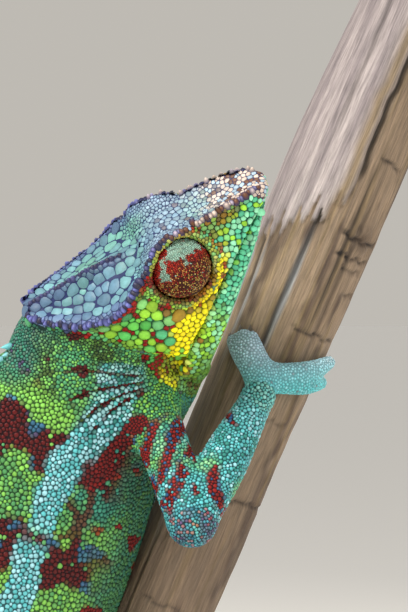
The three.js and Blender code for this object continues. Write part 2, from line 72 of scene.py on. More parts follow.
SPINE_LENGTH = 2.4
SPINE_SPACING = 5.0
SOLE_LIFT = 3.6
TIP_LIFT = 1.9
DIGIT_TIP_RADIUS = 1.9
CLAW_REACH = 3.6

VOXEL = 0.55                                     # fineness of the skin
BAND = 4.4                                       # how far distances to a form are kept
COAT_DEPTH = 0.35                                # the skin lies this far inside the scales' tips
FORM_CORNERS = ((-68, -52, 36), (80, 52, 312))   # the space that holds all the flesh
SKULL_BLEND = 0.1
JAW_BLEND = 0.3
BODY_BLEND = 3.0
LIMB_BLENDS = (4.5, 2.0, 2.0)                    # of the upper part, the lower part and the sole
DIGIT_BLEND = 1.5
SKIN_SOFTNESS = 0.45                             # of the blur over the joined forms
NEAR_SKIN = 2.2                                  # how far from the skin the branch is looked for
BARK_CLEARANCE = 0.15
SOCKET_SPARE = 3.0                               # round a turret, where its socket is cut


# ---- Small helpers ----

def unit(v):
    v = np.asarray(v, float)
    return v / np.maximum(np.linalg.norm(v, axis=-1, keepdims=True), 1e-9)


def dot(a, b):
    return (a * b).sum(-1)


def travelled(path):
    """The length of a path up to each of its points."""
    return np.concatenate([[0], np.cumsum(np.linalg.norm(np.diff(path, axis=0), axis=1))])


def kd_tree(places):
    tree = KDTree(len(places))
    for i, p in enumerate(places):
        tree.insert(p, i)
    tree.balance()
    return tree


def step_between(low, high, x):
    """0 below low, 1 above high, and smooth between. low may be the greater one."""
    t = np.clip((x - low) / (high - low), 0, 1)
    return t * t * (3 - 2 * t)


def shade(code):
    """The linear colour of a screen colour such as '7fa0b0'."""
    c = np.array([int(code[i:i + 2], 16) for i in (0, 2, 4)]) / 255
    return np.where(c <= 0.04045, c / 12.92, ((c + 0.055) / 1.055) ** 2.4)


def lay(under, over, amount):
    """Colours, or one colour, with another laid over by an amount from 0 to 1 at each point."""
    amount = np.asarray(amount)[..., None]
    return under * (1 - amount) + np.asarray(over) * amount


def noise(points, size, seed):
    """Smooth random values from -1 to 1 that change over about size."""
    p = np.asarray(points, float) / size + 31.7 * (seed + 1)
    cell = np.floor(p).astype(np.int64)
    part = p - cell
    part = part * part * (3 - 2 * part)
    total = np.zeros(len(p))
    for corner in np.ndindex(2, 2, 2):
        c = cell + corner
        key = (c[:, 0] * 73856093) ^ (c[:, 1] * 19349663) ^ (c[:, 2] * 83492791) ^ (seed * 26544357)
        key &= 0xFFFFFFFF
        key = ((key ^ (key >> 15)) * 2246822519) & 0xFFFFFFFF
        key = ((key ^ (key >> 13)) * 3266489917) & 0xFFFFFFFF
        value = ((key ^ (key >> 16)) & 0xFFFF) / 32767.5 - 1
        weight = np.where(corner, part, 1 - part).prod(1)
        total += value * weight
    return total


def line_noise(x, size, seed, row=0):
    """Noise along a line; another row has other values."""
    return noise(np.column_stack([x, np.full(len(x), row), np.zeros(len(x))]), size, seed)


def smooth_rows(rows, t):
    """A smooth curve through rows of numbers, at the fractional rows t."""
    last = len(rows) - 1
    t = np.atleast_1d(np.asarray(t, float))
    i = np.clip(np.floor(t).astype(int), 0, last - 1)
    u = (t - i)[:, None]
    before, start, end, after = (rows[np.clip(i + k, 0, last)] for k in (-1, 0, 1, 2))
    return ((2 * u ** 3 - 3 * u ** 2 + 1) * start + (u ** 3 - 2 * u ** 2 + u) * 0.5 * (end - before)
            + (3 * u ** 2 - 2 * u ** 3) * end + (u ** 3 - u ** 2) * 0.5 * (after - start))


HEAD_FORWARD = unit(HEAD_FORWARD)
HEAD_UP = unit(HEAD_UP)
HEAD_RIGHT = unit(np.cross(HEAD_FORWARD, HEAD_UP))
HEAD_AXES = np.array([HEAD_FORWARD, HEAD_RIGHT, HEAD_UP])


def head_point(along, out, up):
    parts = np.stack(np.broadcast_arrays(along, out, up), -1).astype(float)
    return SNOUT_TIP + parts @ HEAD_AXES


def in_head(points):
    """Along the mouth, out to the right and up, from the snout tip."""
    return (points - SNOUT_TIP) @ HEAD_AXES.T


# ---- The branch, and places on it ----

BRANCH_ALONG = np.array([np.sin(BRANCH_LEAN), 0, np.cos(BRANCH_LEAN)])
BRANCH_LEFT = np.array([-np.cos(BRANCH_LEAN), 0, np.sin(BRANCH_LEAN)])
BRANCH_FRONT = np.array([0, -1.0, 0])


def branch_radius(height, turn):
    share = height / BRANCH_LENGTH
    taper = BRANCH_FOOT_RADIUS + (BRANCH_TOP_RADIUS - BRANCH_FOOT_RADIUS) * np.maximum(share, 0) ** 1.3
    lobes = 0.035 * np.cos(2 * turn + 3 * share) + 0.03 * np.cos(3 * turn - 5 * share + 1)
    swelling = 0.16 * np.exp(-((share - 0.8) / 0.1) ** 2) * np.maximum(0, np.cos(turn)) ** 2
    return taper * (1 + lobes + swelling + 0.025 * np.sin(17 * share + 1))


def on_branch(height, degrees, lift):
    height, turn, lift = np.broadcast_arrays(np.asarray(height, float), np.radians(degrees), lift)
    reach = branch_radius(height, turn) + lift
    return (BRANCH_FOOT + height[..., None] * BRANCH_ALONG
            + (reach * np.cos(turn))[..., None] * BRANCH_LEFT
            + (reach * np.sin(turn))[..., None] * BRANCH_FRONT)


def from_branch(points):
    """Distance outside the branch's surface."""
    d = points - BRANCH_FOOT
    left, front = d @ BRANCH_LEFT, d @ BRANCH_FRONT
    return np.hypot(left, front) - branch_radius(d @ BRANCH_ALONG, np.arctan2(front, left))


# ---- Neck, trunk and tail ----

# Middle x, y, z; dorsal direction x, y, z; height above and below the middle; half width.
NECK_AND_TRUNK = np.array([
    [28.4, -14.0, 273.0, -0.863, -0.434, 0.254, 9.0, 9.0, 8.0],
    [19.3, -8.5, 263.4, -0.863, -0.434, 0.254, 20.0, 24.5, 12.4],
    [17.0, -6.0, 255.0, -0.850, -0.450, 0.270, 24.5, 24.0, 12.8],
    [13.5, -3.5, 245.5, -0.830, -0.480, 0.300, 28.0, 22.5, 13.6],
    [3.6, -2.0, 226.0, -0.800, -0.500, 0.330, 30.0, 27.0, 15.2],
    [-5.5, -2.0, 204.0, -0.800, -0.500, 0.330, 30.0, 28.0, 16.0],
    [-16.0, -2.5, 179.0, -0.810, -0.470, 0.340, 28.0, 26.0, 15.6],
    [-25.0, -1.5, 153.0, -0.840, -0.390, 0.360, 22.5, 21.5, 13.6],
    [-33.0, 1.5, 131.0, -0.880, -0.300, 0.370, 15.5, 14.5, 10.8],
])
TAIL_ROWS = 34
TAIL_TURNS = 2.15
TAIL_FIRST_TURN = 11.3
TAIL_FIRST_HEIGHT = 69.8
TAIL_LAST_HEIGHT = 13.0
TAIL_FIRST_REACH = 31.0
TAIL_BASE_RADIUS = 8.8
TAIL_TIP_RADIUS = 1.3
TAIL_LIFT = 0.8                                  # between the coil and the bark


def tail_rows():
    share = np.arange(TAIL_ROWS) / (TAIL_ROWS - 1)
    radius = TAIL_TIP_RADIUS + (TAIL_BASE_RADIUS - TAIL_TIP_RADIUS) * (1 - share) ** 1.25
    degrees = TAIL_FIRST_TURN + 360 * TAIL_TURNS * share ** 1.3
    height = TAIL_FIRST_HEIGHT + (TAIL_LAST_HEIGHT - TAIL_FIRST_HEIGHT) * share ** 0.62
    settled = branch_radius(height, np.radians(degrees)) + radius + TAIL_LIFT
    spare = (TAIL_FIRST_REACH - settled) * np.maximum(0, 1 - share / 0.32) ** 1.6
    middle = on_branch(height, degrees, radius + TAIL_LIFT + spare)
    out = unit(middle - on_branch(height, degrees, 0.0))
    return np.column_stack([middle, out, radius, radius * 0.95, radius * 0.86])


BODY_ROWS = np.concatenate([NECK_AND_TRUNK, tail_rows()])
BODY_END = len(BODY_ROWS) - 1
TRUNK_END = len(NECK_AND_TRUNK) - 1
TAIL_STARTS = len(NECK_AND_TRUNK) - 0.35
BODY_STEPS, TAIL_STEPS, BODY_SIDES = 150, 420, 64
CENTRE_STEPS, TAIL_CENTRE_STEPS = 400, 1400


def body_steps(trunk_count, tail_count):
    """Fractional rows along the body, closer together on the neck and trunk."""
    trunk = np.linspace(0, TRUNK_END, trunk_count)
    return np.concatenate([trunk, np.linspace(TRUNK_END, BODY_END, tail_count)[1:]])


def body_section(t):
    """At rows t: the middle, the directions along, up and right, the heights above and below, half width."""
    rows = smooth_rows(BODY_ROWS, t)
    ahead = smooth_rows(BODY_ROWS, np.minimum(t + 0.02, BODY_END))[:, :3]
    behind = smooth_rows(BODY_ROWS, np.maximum(t - 0.02, 0))[:, :3]
    along = unit(ahead - behind)
    up = unit(rows[:, 3:6] - dot(rows[:, 3:6], along)[:, None] * along)
    right = unit(np.cross(up, along))
    return rows[:, :3], along, up, right, rows[:, 6], rows[:, 7], rows[:, 8]


def body_loft():
    section = body_section(body_steps(BODY_STEPS, TAIL_STEPS))
    middle, _, up, right, above, below, half = (part[:, None] for part in section)
    turn = np.linspace(0, 2 * np.pi, BODY_SIDES, endpoint=False)[None, :]
    rise = np.sin(turn)
    height = np.where(rise > 0, above, below) * rise
    out = half * np.cos(turn) * (1 - 0.1 * rise ** 4)
    return middle + out[..., None] * right + height[..., None] * up


# ---- Head ----

# Along; height of the midline; out and up at the crest, side wall, cheek and lip.
HEAD_ROWS = np.array([
    [0.1, -0.7, 2.4, 0.1, 2.4, -1.0, 2.2, -1.5, 1.7, -2.1],
    [-1.7, 1.5, 5.0, 3.3, 4.4, 1.0, 4.0, -0.6, 3.4, -2.2],
    [-5.6, 4.7, 6.5, 6.7, 5.4, 3.2, 5.2, 0.6, 4.8, -1.7],
    [-10.1, 8.0, 6.9, 9.9, 6.1, 5.5, 6.6, 2.0, 6.3, -1.3],
    [-13.5, 10.9, 6.9, 12.4, 6.6, 8.0, 7.8, 3.0, 7.3, -1.1],
    [-16.0, 13.4, 7.7, 14.9, 7.8, 10.0, 8.9, 3.5, 7.9, -1.0],
    [-19.5, 16.2, 8.9, 17.3, 9.5, 12.0, 10.3, 4.0, 8.6, -1.0],
    [-24.6, 17.5, 11.2, 17.9, 11.1, 12.0, 11.7, 4.5, 9.6, -1.0],
    [-28.7, 19.0, 12.9, 18.5, 12.2, 12.5, 12.9, 5.0, 10.4, -1.0],
    [-32.4, 22.4, 13.6, 18.5, 12.6, 13.0, 13.5, 5.0, 11.0, -1.0],
    [-37.3, 26.0, 13.4, 19.9, 12.4, 13.5, 13.7, 5.0, 11.4, -1.0],
    [-41.8, 28.4, 11.6, 23.3, 11.6, 15.0, 13.1, 5.0, 11.4, -1.5],
    [-44.7, 29.9, 9.4, 26.6, 10.0, 19.0, 10.6, 12.0, 8.0, 6.0],
    [-47.5, 32.2, 6.6, 30.8, 6.8, 26.4, 6.0, 22.0, 4.0, 18.0],
    [-50.0, 35.0, 2.8, 34.4, 2.8, 32.6, 2.4, 31.4, 1.5, 30.4],
])

# Along, then out and up at the lip and the side, then the height of the chin.
JAW_ROWS = np.array([
    [-0.9, 1.4, -2.3, 1.4, -2.6, -2.9],
    [-3.0, 2.9, -2.2, 2.8, -3.0, -3.5],
    [-7.0, 4.9, -1.9, 4.6, -3.3, -4.4],
    [-12.0, 6.4, -1.5, 6.1, -4.2, -5.8],
    [-20.0, 8.3, -1.35, 7.9, -5.2, -7.3],
    [-28.0, 10.0, -1.35, 9.5, -6.2, -8.6],
    [-36.0, 11.0, -1.35, 10.6, -7.2, -9.9],
    [-42.0, 11.2, -1.9, 10.9, -7.8, -10.9],
    [-45.5, 10.6, -2.6, 10.4, -8.4, -12.0],
    [-48.5, 9.0, -4.6, 8.8, -9.4, -12.8],
    [-51.5, 5.6, -8.0, 5.5, -10.6, -13.2],
])


def mirrored_loft(along, out, up, per_point=3):
    """Rings from right half sections, which run from the top midline to the bottom one."""
    fine = np.linspace(0, out.shape[1] - 1, (out.shape[1] - 1) * per_point + 1)
    half = np.array([smooth_rows(np.column_stack([o, u]), fine) for o, u in zip(out, up)])
    half[:, [0, -1], 0] = 0
    left = half[:, -2:0:-1] * (-1, 1)
    ring = np.concatenate([half, left], 1)
    return head_point(along[:, None], ring[..., 0], ring[..., 1])


SKULL_STEPS = 85
JAW_STEPS = 60


def skull_loft():
    rows = smooth_rows(HEAD_ROWS, np.linspace(0, len(HEAD_ROWS) - 1, SKULL_STEPS))
    along, top, crest_o, crest_u, wall_o, wall_u, cheek_o, cheek_u, lip_o, lip_u = rows.T
    none = np.zeros_like(along)
    out = [none, crest_o * 0.5, crest_o, (crest_o + wall_o) / 2 - 0.25, wall_o,
           (wall_o + cheek_o) / 2 + 0.15, cheek_o, (cheek_o + lip_o) / 2 + 0.35, lip_o, none]
    up = [top, top * 0.55 + crest_u * 0.45 - 0.2, crest_u, (crest_u + wall_u) / 2, wall_u,
          (wall_u + cheek_u) / 2, cheek_u, (cheek_u + lip_u) / 2, lip_u, lip_u]
    return mirrored_loft(along, np.array(out).T, np.array(up).T)


def jaw_loft():
    rows = smooth_rows(JAW_ROWS, np.linspace(0, len(JAW_ROWS) - 1, JAW_STEPS))
    along, lip_o, lip_u, side_o, side_u, chin = rows.T
    none = np.zeros_like(along)
    out = [none, lip_o, (lip_o + side_o) / 2 + 0.3, side_o, side_o * 0.62, none]
    up = [lip_u, lip_u, (lip_u + side_u) / 2, side_u, side_u + (chin - side_u) * 0.72, chin]
    return mirrored_loft(along, np.array(out).T, np.array(up).T)


def eye_centre(side):
    along, out, up = EYE_PLACE
    return head_point(along, side * out, up)


def eye_look(side, gaze):
    return unit(gaze[0] * HEAD_FORWARD + gaze[1] * HEAD_UP + side * gaze[2] * HEAD_RIGHT)


def from_eye(points, side):
    """Distance from a turret's middle, where its shallow inner half counts in full."""
    d = points - eye_centre(side)
    inward = np.minimum(d @ (side * HEAD_RIGHT), 0)
    d = d + (inward * (1 / EYE_INNER_SHARE - 1))[..., None] * (side * HEAD_RIGHT)
    return np.linalg.norm(d, axis=-1)


# ---- Limbs ----

ARM_RADII = ((6.6, 5.6, 5.5), (5.0, 5.6, 3.7))
LEG_RADII = ((8.4, 6.8, 5.5), (4.9, 5.2, 3.7))
# root, bend and ankle are x, y, z. The sole and the digits' tips are degrees round the branch and its height.
LIMBS = {
    "right_arm": dict(
        root=(27, -8, 250), bend=(37.4, -22, 223.4), ankle=(52.2, -5, 249.8), radii=ARM_RADII,
        sole=(90, 234.5), inner=((66, 242), (57, 241.5), (49, 239.5)), outer=((158, 243.5), (160, 238.5))),
    "left_arm": dict(
        root=(19, 3, 249), bend=(25, 27, 222), ankle=(16.5, 27.5, 197), radii=ARM_RADII,
        sole=(-72, 169), inner=((-28, 176), (-26, 171), (-28, 166)), outer=((-134, 172), (-134, 166.5))),
    "right_leg": dict(
        root=(-27, -6, 136), bend=(-19, -25, 160), ankle=(-2.5, -8, 139.5), radii=LEG_RADII,
        sole=(78, 105), inner=((30, 110), (29, 104.5)), outer=((140, 112), (143, 106.5), (140, 101))),
    "left_leg": dict(
        root=(-27, 5, 135), bend=(-21, 30, 152), ankle=(-8.5, 30, 121), radii=LEG_RADII,
        sole=(-74, 83), inner=((-26, 89), (-25, 83.5)), outer=((-132, 90), (-136, 84.5), (-132, 79))),
}
ANKLE_RADIUS, SOLE_RADIUS = 3.3, 3.7
DIGIT_SHARES = (0.05, 0.55, 1.0)                 # along a digit, where its radius is given
DIGIT_RADII = (3.4, 2.8, DIGIT_TIP_RADIUS)
LIMB_STOPS = 9                                   # along each part of a limb


def limb_points(limb):
    return [np.array(limb[stop], float) for stop in ("root", "bend", "ankle")]


def digit_path(sole, tip, share):
    """The middle of a digit from the sole, at share 0, to its tip, at 1, and beyond."""
    share = np.asarray(share, float)
    return on_branch(sole[1] + (tip[1] - sole[1]) * share, sole[0] + (tip[0] - sole[0]) * share,
                     SOLE_LIFT + (TIP_LIFT - SOLE_LIFT) * share)


def limb_stops(limb):
    """For each part of a limb: its number, its stops (x, y, z, radius) and its blend."""
    root, bend, ankle = limb_points(limb)
    upper, lower = limb["radii"]
    thick = bend + (ankle - bend) * 0.45
    sole = digit_path(limb["sole"], limb["sole"], 0)
    paths = [[(*root, upper[0]), (*((root + bend) / 2), upper[1]), (*bend, upper[2])],
             [(*bend, lower[0]), (*thick, lower[1]), (*ankle, lower[2])],
             [(*ankle, ANKLE_RADIUS), (*sole, SOLE_RADIUS)]]
    parts = [(part, stops, LIMB_BLENDS[part]) for part, stops in enumerate(paths)]
    for tip in limb["inner"] + limb["outer"]:
        path = digit_path(limb["sole"], tip, DIGIT_SHARES)
        parts.append((2, [(*p, radius) for p, radius in zip(path, DIGIT_RADII)], DIGIT_BLEND))
    return parts


# ---- One form from all the flesh ----

SKULL, JAW, BODY, FIRST_LIMB = 0, 1, 2, 3


def closed_mesh(rings):
    """Points, quads and end triangles of a loft."""
    rows, count = rings.shape[:2]
    points = np.concatenate([rings.reshape(-1, 3), rings[0].mean(0)[None], rings[-1].mean(0)[None]])
    i = np.arange(count)
    nxt = (i + 1) % count
    row = (np.arange(rows - 1) * count)[:, None]
    quads = np.stack([row + i, row + nxt, row + count + nxt, row + count + i], -1).reshape(-1, 4)
    last = (rows - 1) * count
    first_fan = np.stack([np.full(count, rows * count), nxt, i], -1)
    last_fan = np.stack([np.full(count, rows * count + 1), last + i, last + nxt], -1)
    return points, quads, np.concatenate([first_fan, last_fan])


class Form:
    """Distances to a form's surface on a grid, less than 0 inside, and what lies nearest."""

    def __init__(self, low, high):
        self.low = np.floor(np.array(low) / VOXEL).astype(int)
        shape = np.ceil(np.array(high) / VOXEL).astype(int) - self.low
        self.values = np.full(shape, BAND, np.float32)
        self.nearest = np.full(shape, BAND, np.float32)
        self.label = np.zeros(shape, np.uint8)

    def window(self, low, shape):
        """Where a part of the grid lies in the whole, and how much of the part lies before it."""
        start = np.maximum(low - self.low, 0)
        end = np.minimum(low - self.low + shape, self.values.shape)
        return tuple(slice(a, b) for a, b in zip(start, end)), start + self.low - low

    def add(self, low, part, label, reach):
        """Joins a part's distances, with a blend as wide as reach."""
        place, skip = self.window(low, part.shape)
        part = part[tuple(slice(s, s + p.stop - p.start) for s, p in zip(skip, place))]
        here = self.values[place]
        close = np.maximum(reach - np.abs(here - part), 0)
        here[...] = np.minimum(here, part) - close ** 2 / (4 * reach)
        nearer = part < self.nearest[place]
        self.label[place][nearer] = label
        self.nearest[place][nearer] = part[nearer]

    def add_loft(self, rings, label, reach):
        points, quads, triangles = closed_mesh(rings)
        grid = openvdb.FloatGrid.createLevelSetFromPolygons(
            points.astype(np.float32), triangles=triangles.astype(np.uint32), quads=quads.astype(np.uint32),
            transform=openvdb.createLinearTransform(voxelSize=VOXEL), halfWidth=BAND / VOXEL)
        low, high = (np.array(corner) for corner in grid.evalActiveVoxelBoundingBox())
        part = np.empty(high - low + 1, np.float32)
        grid.copyToArray(part, ijk=tuple(int(v) for v in low))
        self.add(low, part, label, reach)

    def grid_points(self, low, shape):
        return np.stack(np.meshgrid(*[(low[k] + np.arange(shape[k])) * VOXEL for k in range(3)],
                                    indexing="ij"), -1)

    def add_limb_part(self, stops, label, reach):
        stops = smooth_rows(np.array(stops), np.linspace(0, len(stops) - 1, LIMB_STOPS))
        spare = stops[:, 3:] + BAND
        low = np.floor((stops[:, :3] - spare).min(0) / VOXEL).astype(int)
        high = np.ceil((stops[:, :3] + spare).max(0) / VOXEL).astype(int)
        points = self.grid_points(low, high - low)
        part = np.full(points.shape[:3], BAND, np.float32)
        for (*a, start_radius), (*b, end_radius) in zip(stops[:-1], stops[1:]):
            a, b = np.array(a), np.array(b)
            share = np.clip((points - a) @ (b - a) / dot(b - a, b - a), 0, 1)
            middle = a + share[..., None] * (b - a)
            radius = start_radius + (end_radius - start_radius) * share
            part = np.minimum(part, np.linalg.norm(points - middle, axis=-1) - radius)
        self.add(low, part.astype(np.float32), label, reach)

    def cut_eye(self, side):
        """Makes room for a turret, under the ledge of the crest."""
        centre = eye_centre(side)
        spare = EYE_RADIUS + SOCKET_SPARE
        low = np.floor((centre - spare) / VOXEL).astype(int)
        shape = np.ceil((centre + spare) / VOXEL).astype(int) - low
        place, _ = self.window(low, shape)
        grid = self.grid_points(low, shape)
        along, _, up = np.moveaxis(in_head(grid), -1, 0)
        socket = from_eye(grid, side) - (EYE_RADIUS + EYE_CLEARANCE - COAT_DEPTH)
        socket = np.maximum(socket, up - crest_up(along) + CREST_THICKNESS)
        here = self.values[place]
        here[...] = np.maximum(here, -socket)

    def rest_on_branch(self):
        """Keeps the flesh out of the branch."""
        close = np.argwhere(np.abs(self.values) < NEAR_SKIN)
        clear = BARK_CLEARANCE - COAT_DEPTH - from_branch((close + self.low) * VOXEL)
        index = tuple(close.T)
        self.values[index] = np.maximum(self.values[index], clear)

    def soften(self, amount):
        """A small blur, by weights for the two nearest values on each side."""
        side = np.exp(-0.5 * (np.arange(1, 3) * VOXEL / amount) ** 2)
        total = 1 + 2 * side.sum()
        for axis in range(3):
            v = np.moveaxis(self.values, axis, 0)
            soft = v / total
            for k, weight in enumerate(side, 1):
                soft[k:] += v[:-k] * (weight / total)
                soft[:-k] += v[k:] * (weight / total)
                soft[:k] += v[:k] * (weight / total)
                soft[-k:] += v[-k:] * (weight / total)
            self.values = np.ascontiguousarray(np.moveaxis(soft, 0, axis))

    def surface(self):
        grid = openvdb.FloatGrid(BAND)
        grid.copyFromArray(self.values, ijk=tuple(int(v) for v in self.low))
        grid.transform = openvdb.createLinearTransform(voxelSize=VOXEL)
        points, quads = grid.convertToQuads(-COAT_DEPTH)
        return points.astype(float), quads.astype(np.int64)

    def label_at(self, points):
        index = np.clip(np.rint(points / VOXEL).astype(int) - self.low, 0, np.array(self.label.shape) - 1)
        return self.label[tuple(index.T)]


def flesh_form():
    form = Form(*FORM_CORNERS)
    form.add_loft(skull_loft(), SKULL, SKULL_BLEND)
    form.add_loft(jaw_loft(), JAW, JAW_BLEND)
    form.add_loft(body_loft(), BODY, BODY_BLEND)
    for k, limb in enumerate(LIMBS.values()):
        for part, stops, reach in limb_stops(limb):
            form.add_limb_part(stops, FIRST_LIMB + 3 * k + part, reach)
    form.rest_on_branch()
    for side in (1, -1):
        form.cut_eye(side)
    form.soften(SKIN_SOFTNESS)
    return form


# ---- Where a point lies on the body ----

CENTRE_T = body_steps(CENTRE_STEPS, TAIL_CENTRE_STEPS)
CENTRE = body_section(CENTRE_T)
CENTRE_ARC = travelled(CENTRE[0])
TAIL_ARC = float(np.interp(TAIL_STARTS, CENTRE_T, CENTRE_ARC))
TAIL_LENGTH = CENTRE_ARC[-1] - TAIL_ARC


class Survey:
    """For many points: the part each lies on, and its place on the head, body and limbs."""

    def __init__(self, points, normals, form):
        self.points = points
        self.label = form.label_at(points)
        self.along, self.out, self.up = in_head(points).T
        self.facing_up = normals @ HEAD_UP
        centre_line = kd_tree(CENTRE[0])
        near = np.array([centre_line.find(p)[1] for p in points])
        middle, along, up, right, above, below, half = (part[near] for part in CENTRE)
        d = points - middle
        self.arc = CENTRE_ARC[near] + dot(d, along)
        rise = dot(d, up)
        self.rise = rise / np.where(rise > 0, above, below)      # 1 at the back, -1 at the belly
        self.side = dot(d, right) / half
        self.limb = np.clip((self.label.astype(int) - FIRST_LIMB) // 3, -1, 3)
        self.limb[self.label < FIRST_LIMB] = -1
        self.limb_part = np.where(self.limb >= 0, (self.label.astype(int) - FIRST_LIMB) % 3, -1)
        self.limb_share = np.zeros(len(points))
        for k, limb in enumerate(LIMBS.values()):
            stops = limb_points(limb)
            for part in (0, 1):
                on = (self.limb == k) & (self.limb_part == part)
                a, b = stops[part:part + 2]
                self.limb_share[on] = (points[on] - a) @ (b - a) / dot(b - a, b - a)
        self.eye = np.minimum(from_eye(points, 1), from_eye(points, -1))

    def only(self, which):
        """The same survey for some of the points."""
        part = copy.copy(self)
        for name, values in vars(self).items():
            setattr(part, name, values[which])
        return part


# The lateral crest, along, up and out, from the snout tip to the tip of the casque.
CREST = np.array([
    [0.2, 0.6, 3.2], [-1.7, 3.4, 5.1], [-5.6, 6.75, 6.4], [-10.1, 9.95, 6.8], [-13.5, 12.4, 6.9],
    [-16.0, 14.9, 7.6], [-19.5, 17.3, 8.8], [-24.6, 17.7, 11.2], [-28.7, 18.5, 12.8], [-32.4, 18.4, 13.5],
    [-37.3, 19.8, 13.3], [-41.8, 23.3, 11.5], [-44.7, 26.5, 9.3], [-47.5, 31.0, 6.5], [-50.0, 34.5, 2.9],
])
CREST_THICKNESS = 2.4                            # of the ledge over the eyes
RIDGE = HEAD_ROWS[8:14, :2]                      # the parietal ridge: along and up
MOUTH = np.array([[-47.5, -3.6], [-42.0, -1.9], [-36.0, -1.2], [-20.0, -1.2], [-12.0, -1.4],
                  [-7.0, -1.8], [-3.0, -2.4], [0.0, -2.6]])


def crest_up(along):
    return np.interp(-along, -CREST[:, 0], CREST[:, 1])


def mouth_up(along):
    return np.interp(along, MOUTH[:, 0], MOUTH[:, 1])


def from_path(points, path):
    """Distance to a line of points, in as many dimensions as both have."""
    nearest = np.full(len(points), 1e9)
    for a, b in zip(path[:-1], path[1:]):
        share = np.clip((points - a) @ (b - a) / dot(b - a, b - a), 0, 1)[:, None]
        nearest = np.minimum(nearest, np.linalg.norm(points - a - share * (b - a), axis=1))
    return nearest


def head_zones(s):
    """Masks of the head's zones, and distances from its crests, its middle ridge and its mouth."""
    along, out, up = s.along, np.abs(s.out), s.up
    here = np.column_stack([along, up, out])
    crest = from_path(here, CREST)
    ridge = np.hypot(from_path(here[:, :2], RIDGE), out)
    above = (up - crest_up(along) > -0.5) | ((s.facing_up > 0.35) & (up - crest_up(along) > -3.2))
    on_head = s.label <= JAW
    casque = on_head & above & (along > -50.4)
    casque |= on_head & (along > -3.0) & (up > -1.7)
    throat = (s.label == BODY) & (behind_crease(s) < 0.3) & (up < 8.5) & (along > -58)
    return dict(crest=crest, ridge=ridge, casque=casque, on_head=on_head, throat=throat,
                lip=up - mouth_up(along), in_mouth=(along > -46) & (along < 0.5))


def unit_bump(x, width):
    return np.exp(-(x / width) ** 2)


JAW_CORNER = np.array([-48.5, 0.5])              # where the folds of the neck fan out
FOLD_ANGLES = (88, 77, 63, 52, 43)               # degrees above straight back
THROAT_CREASE = np.array([[-44.6, 9.5], [-46.8, 5.8], [-49.2, 1.8],
                          [-50.4, -1.0], [-52.0, -5.7], [-55.0, -10.5]])
NOSTRIL = np.array([-6.0, 3.3])                  # along and up


def neck_folds(s):
    """Masks of the fan of folds and of its grooves, and the angle and reach from the jaw's corner."""
    back, up = JAW_CORNER[0] - s.along, s.up - JAW_CORNER[1]
    reach = np.hypot(back, up)
    angle = np.degrees(np.arctan2(up, back)) + 80 * noise(s.points, 12, 3) / np.maximum(reach, 6)
    angle += 0.03 * (reach - 12) ** 2 * (reach > 12) * step_between(30, 45, angle)
    groove = sum(unit_bump((angle - fold) * reach * np.pi / 180, 0.4) for fold in FOLD_ANGLES)
    fan = step_between(3.5, 7, reach) * step_between(27, 18, reach)
    fan = fan * ((s.label == BODY) | ((s.limb == 0) & (s.limb_share < 0.18) & (s.limb_part == 0)))
    return fan, fan * np.minimum(groove, 1), angle, reach


def behind_crease(s):
    """Millimetres behind the crease that parts face from neck; negative on the face."""
    along = np.interp(s.up, THROAT_CREASE[::-1, 1], THROAT_CREASE[::-1, 0])
    return (along - s.along) * 0.8


def carve(points, normals, form):
    """Folds, lips, lids and ridges worked into the skin."""
    s = Survey(points, normals, form)
    z = head_zones(s)
    lift = np.zeros(len(points))
    mouth = (z["on_head"] & z["in_mouth"]) * unit_bump(z["lip"], 0.42)
    lift -= 0.75 * mouth
    lift += z["on_head"] * z["in_mouth"] * 0.22 * unit_bump(z["lip"] - 1.2, 0.9)
    lift += z["on_head"] * 0.55 * unit_bump(z["crest"], 0.85)
    lift += z["casque"] * 0.45 * unit_bump(z["ridge"], 0.8) * (s.along < -26)
    bowl = step_between(1.2, 4.5, z["crest"]) * step_between(0.8, 4, z["ridge"])
    lift -= 0.9 * (z["casque"] * (s.along < -25) * bowl)
    lift += z["on_head"] * 0.5 * unit_bump(s.eye - EYE_RADIUS - 1.3, 0.65)
    lift -= z["on_head"] * 0.4 * unit_bump(s.eye - EYE_RADIUS - 2.7, 0.6)
    nostril = np.linalg.norm(np.column_stack([s.along - NOSTRIL[0], s.up - NOSTRIL[1]]), axis=1)
    lift -= z["on_head"] * 0.8 * unit_bump(nostril, 0.65)
    fan, groove, angle, _ = neck_folds(s)
    lift += fan * step_between(30, 42, angle) * step_between(95, 85, angle) * 0.4 - 0.9 * groove
    throat = (s.limb < 0) * step_between(-14, -9, s.up) * step_between(10, 6, s.up) * (s.along < -42)
    lift -= 1.0 * throat * unit_bump(behind_crease(s) - 0.2, 0.6)
    lift -= 0.5 * throat * unit_bump(behind_crease(s) + 2.2, 0.4) * (s.up < 0)
    lift += 0.35 * (s.label == BODY) * (s.arc < TAIL_ARC) * unit_bump(s.rise - 1.0, 0.02)
    return points + normals * lift[:, None]


# ---- Meshes ----

def dressed(piece, material):
    piece.data.materials.append(material)
    return piece


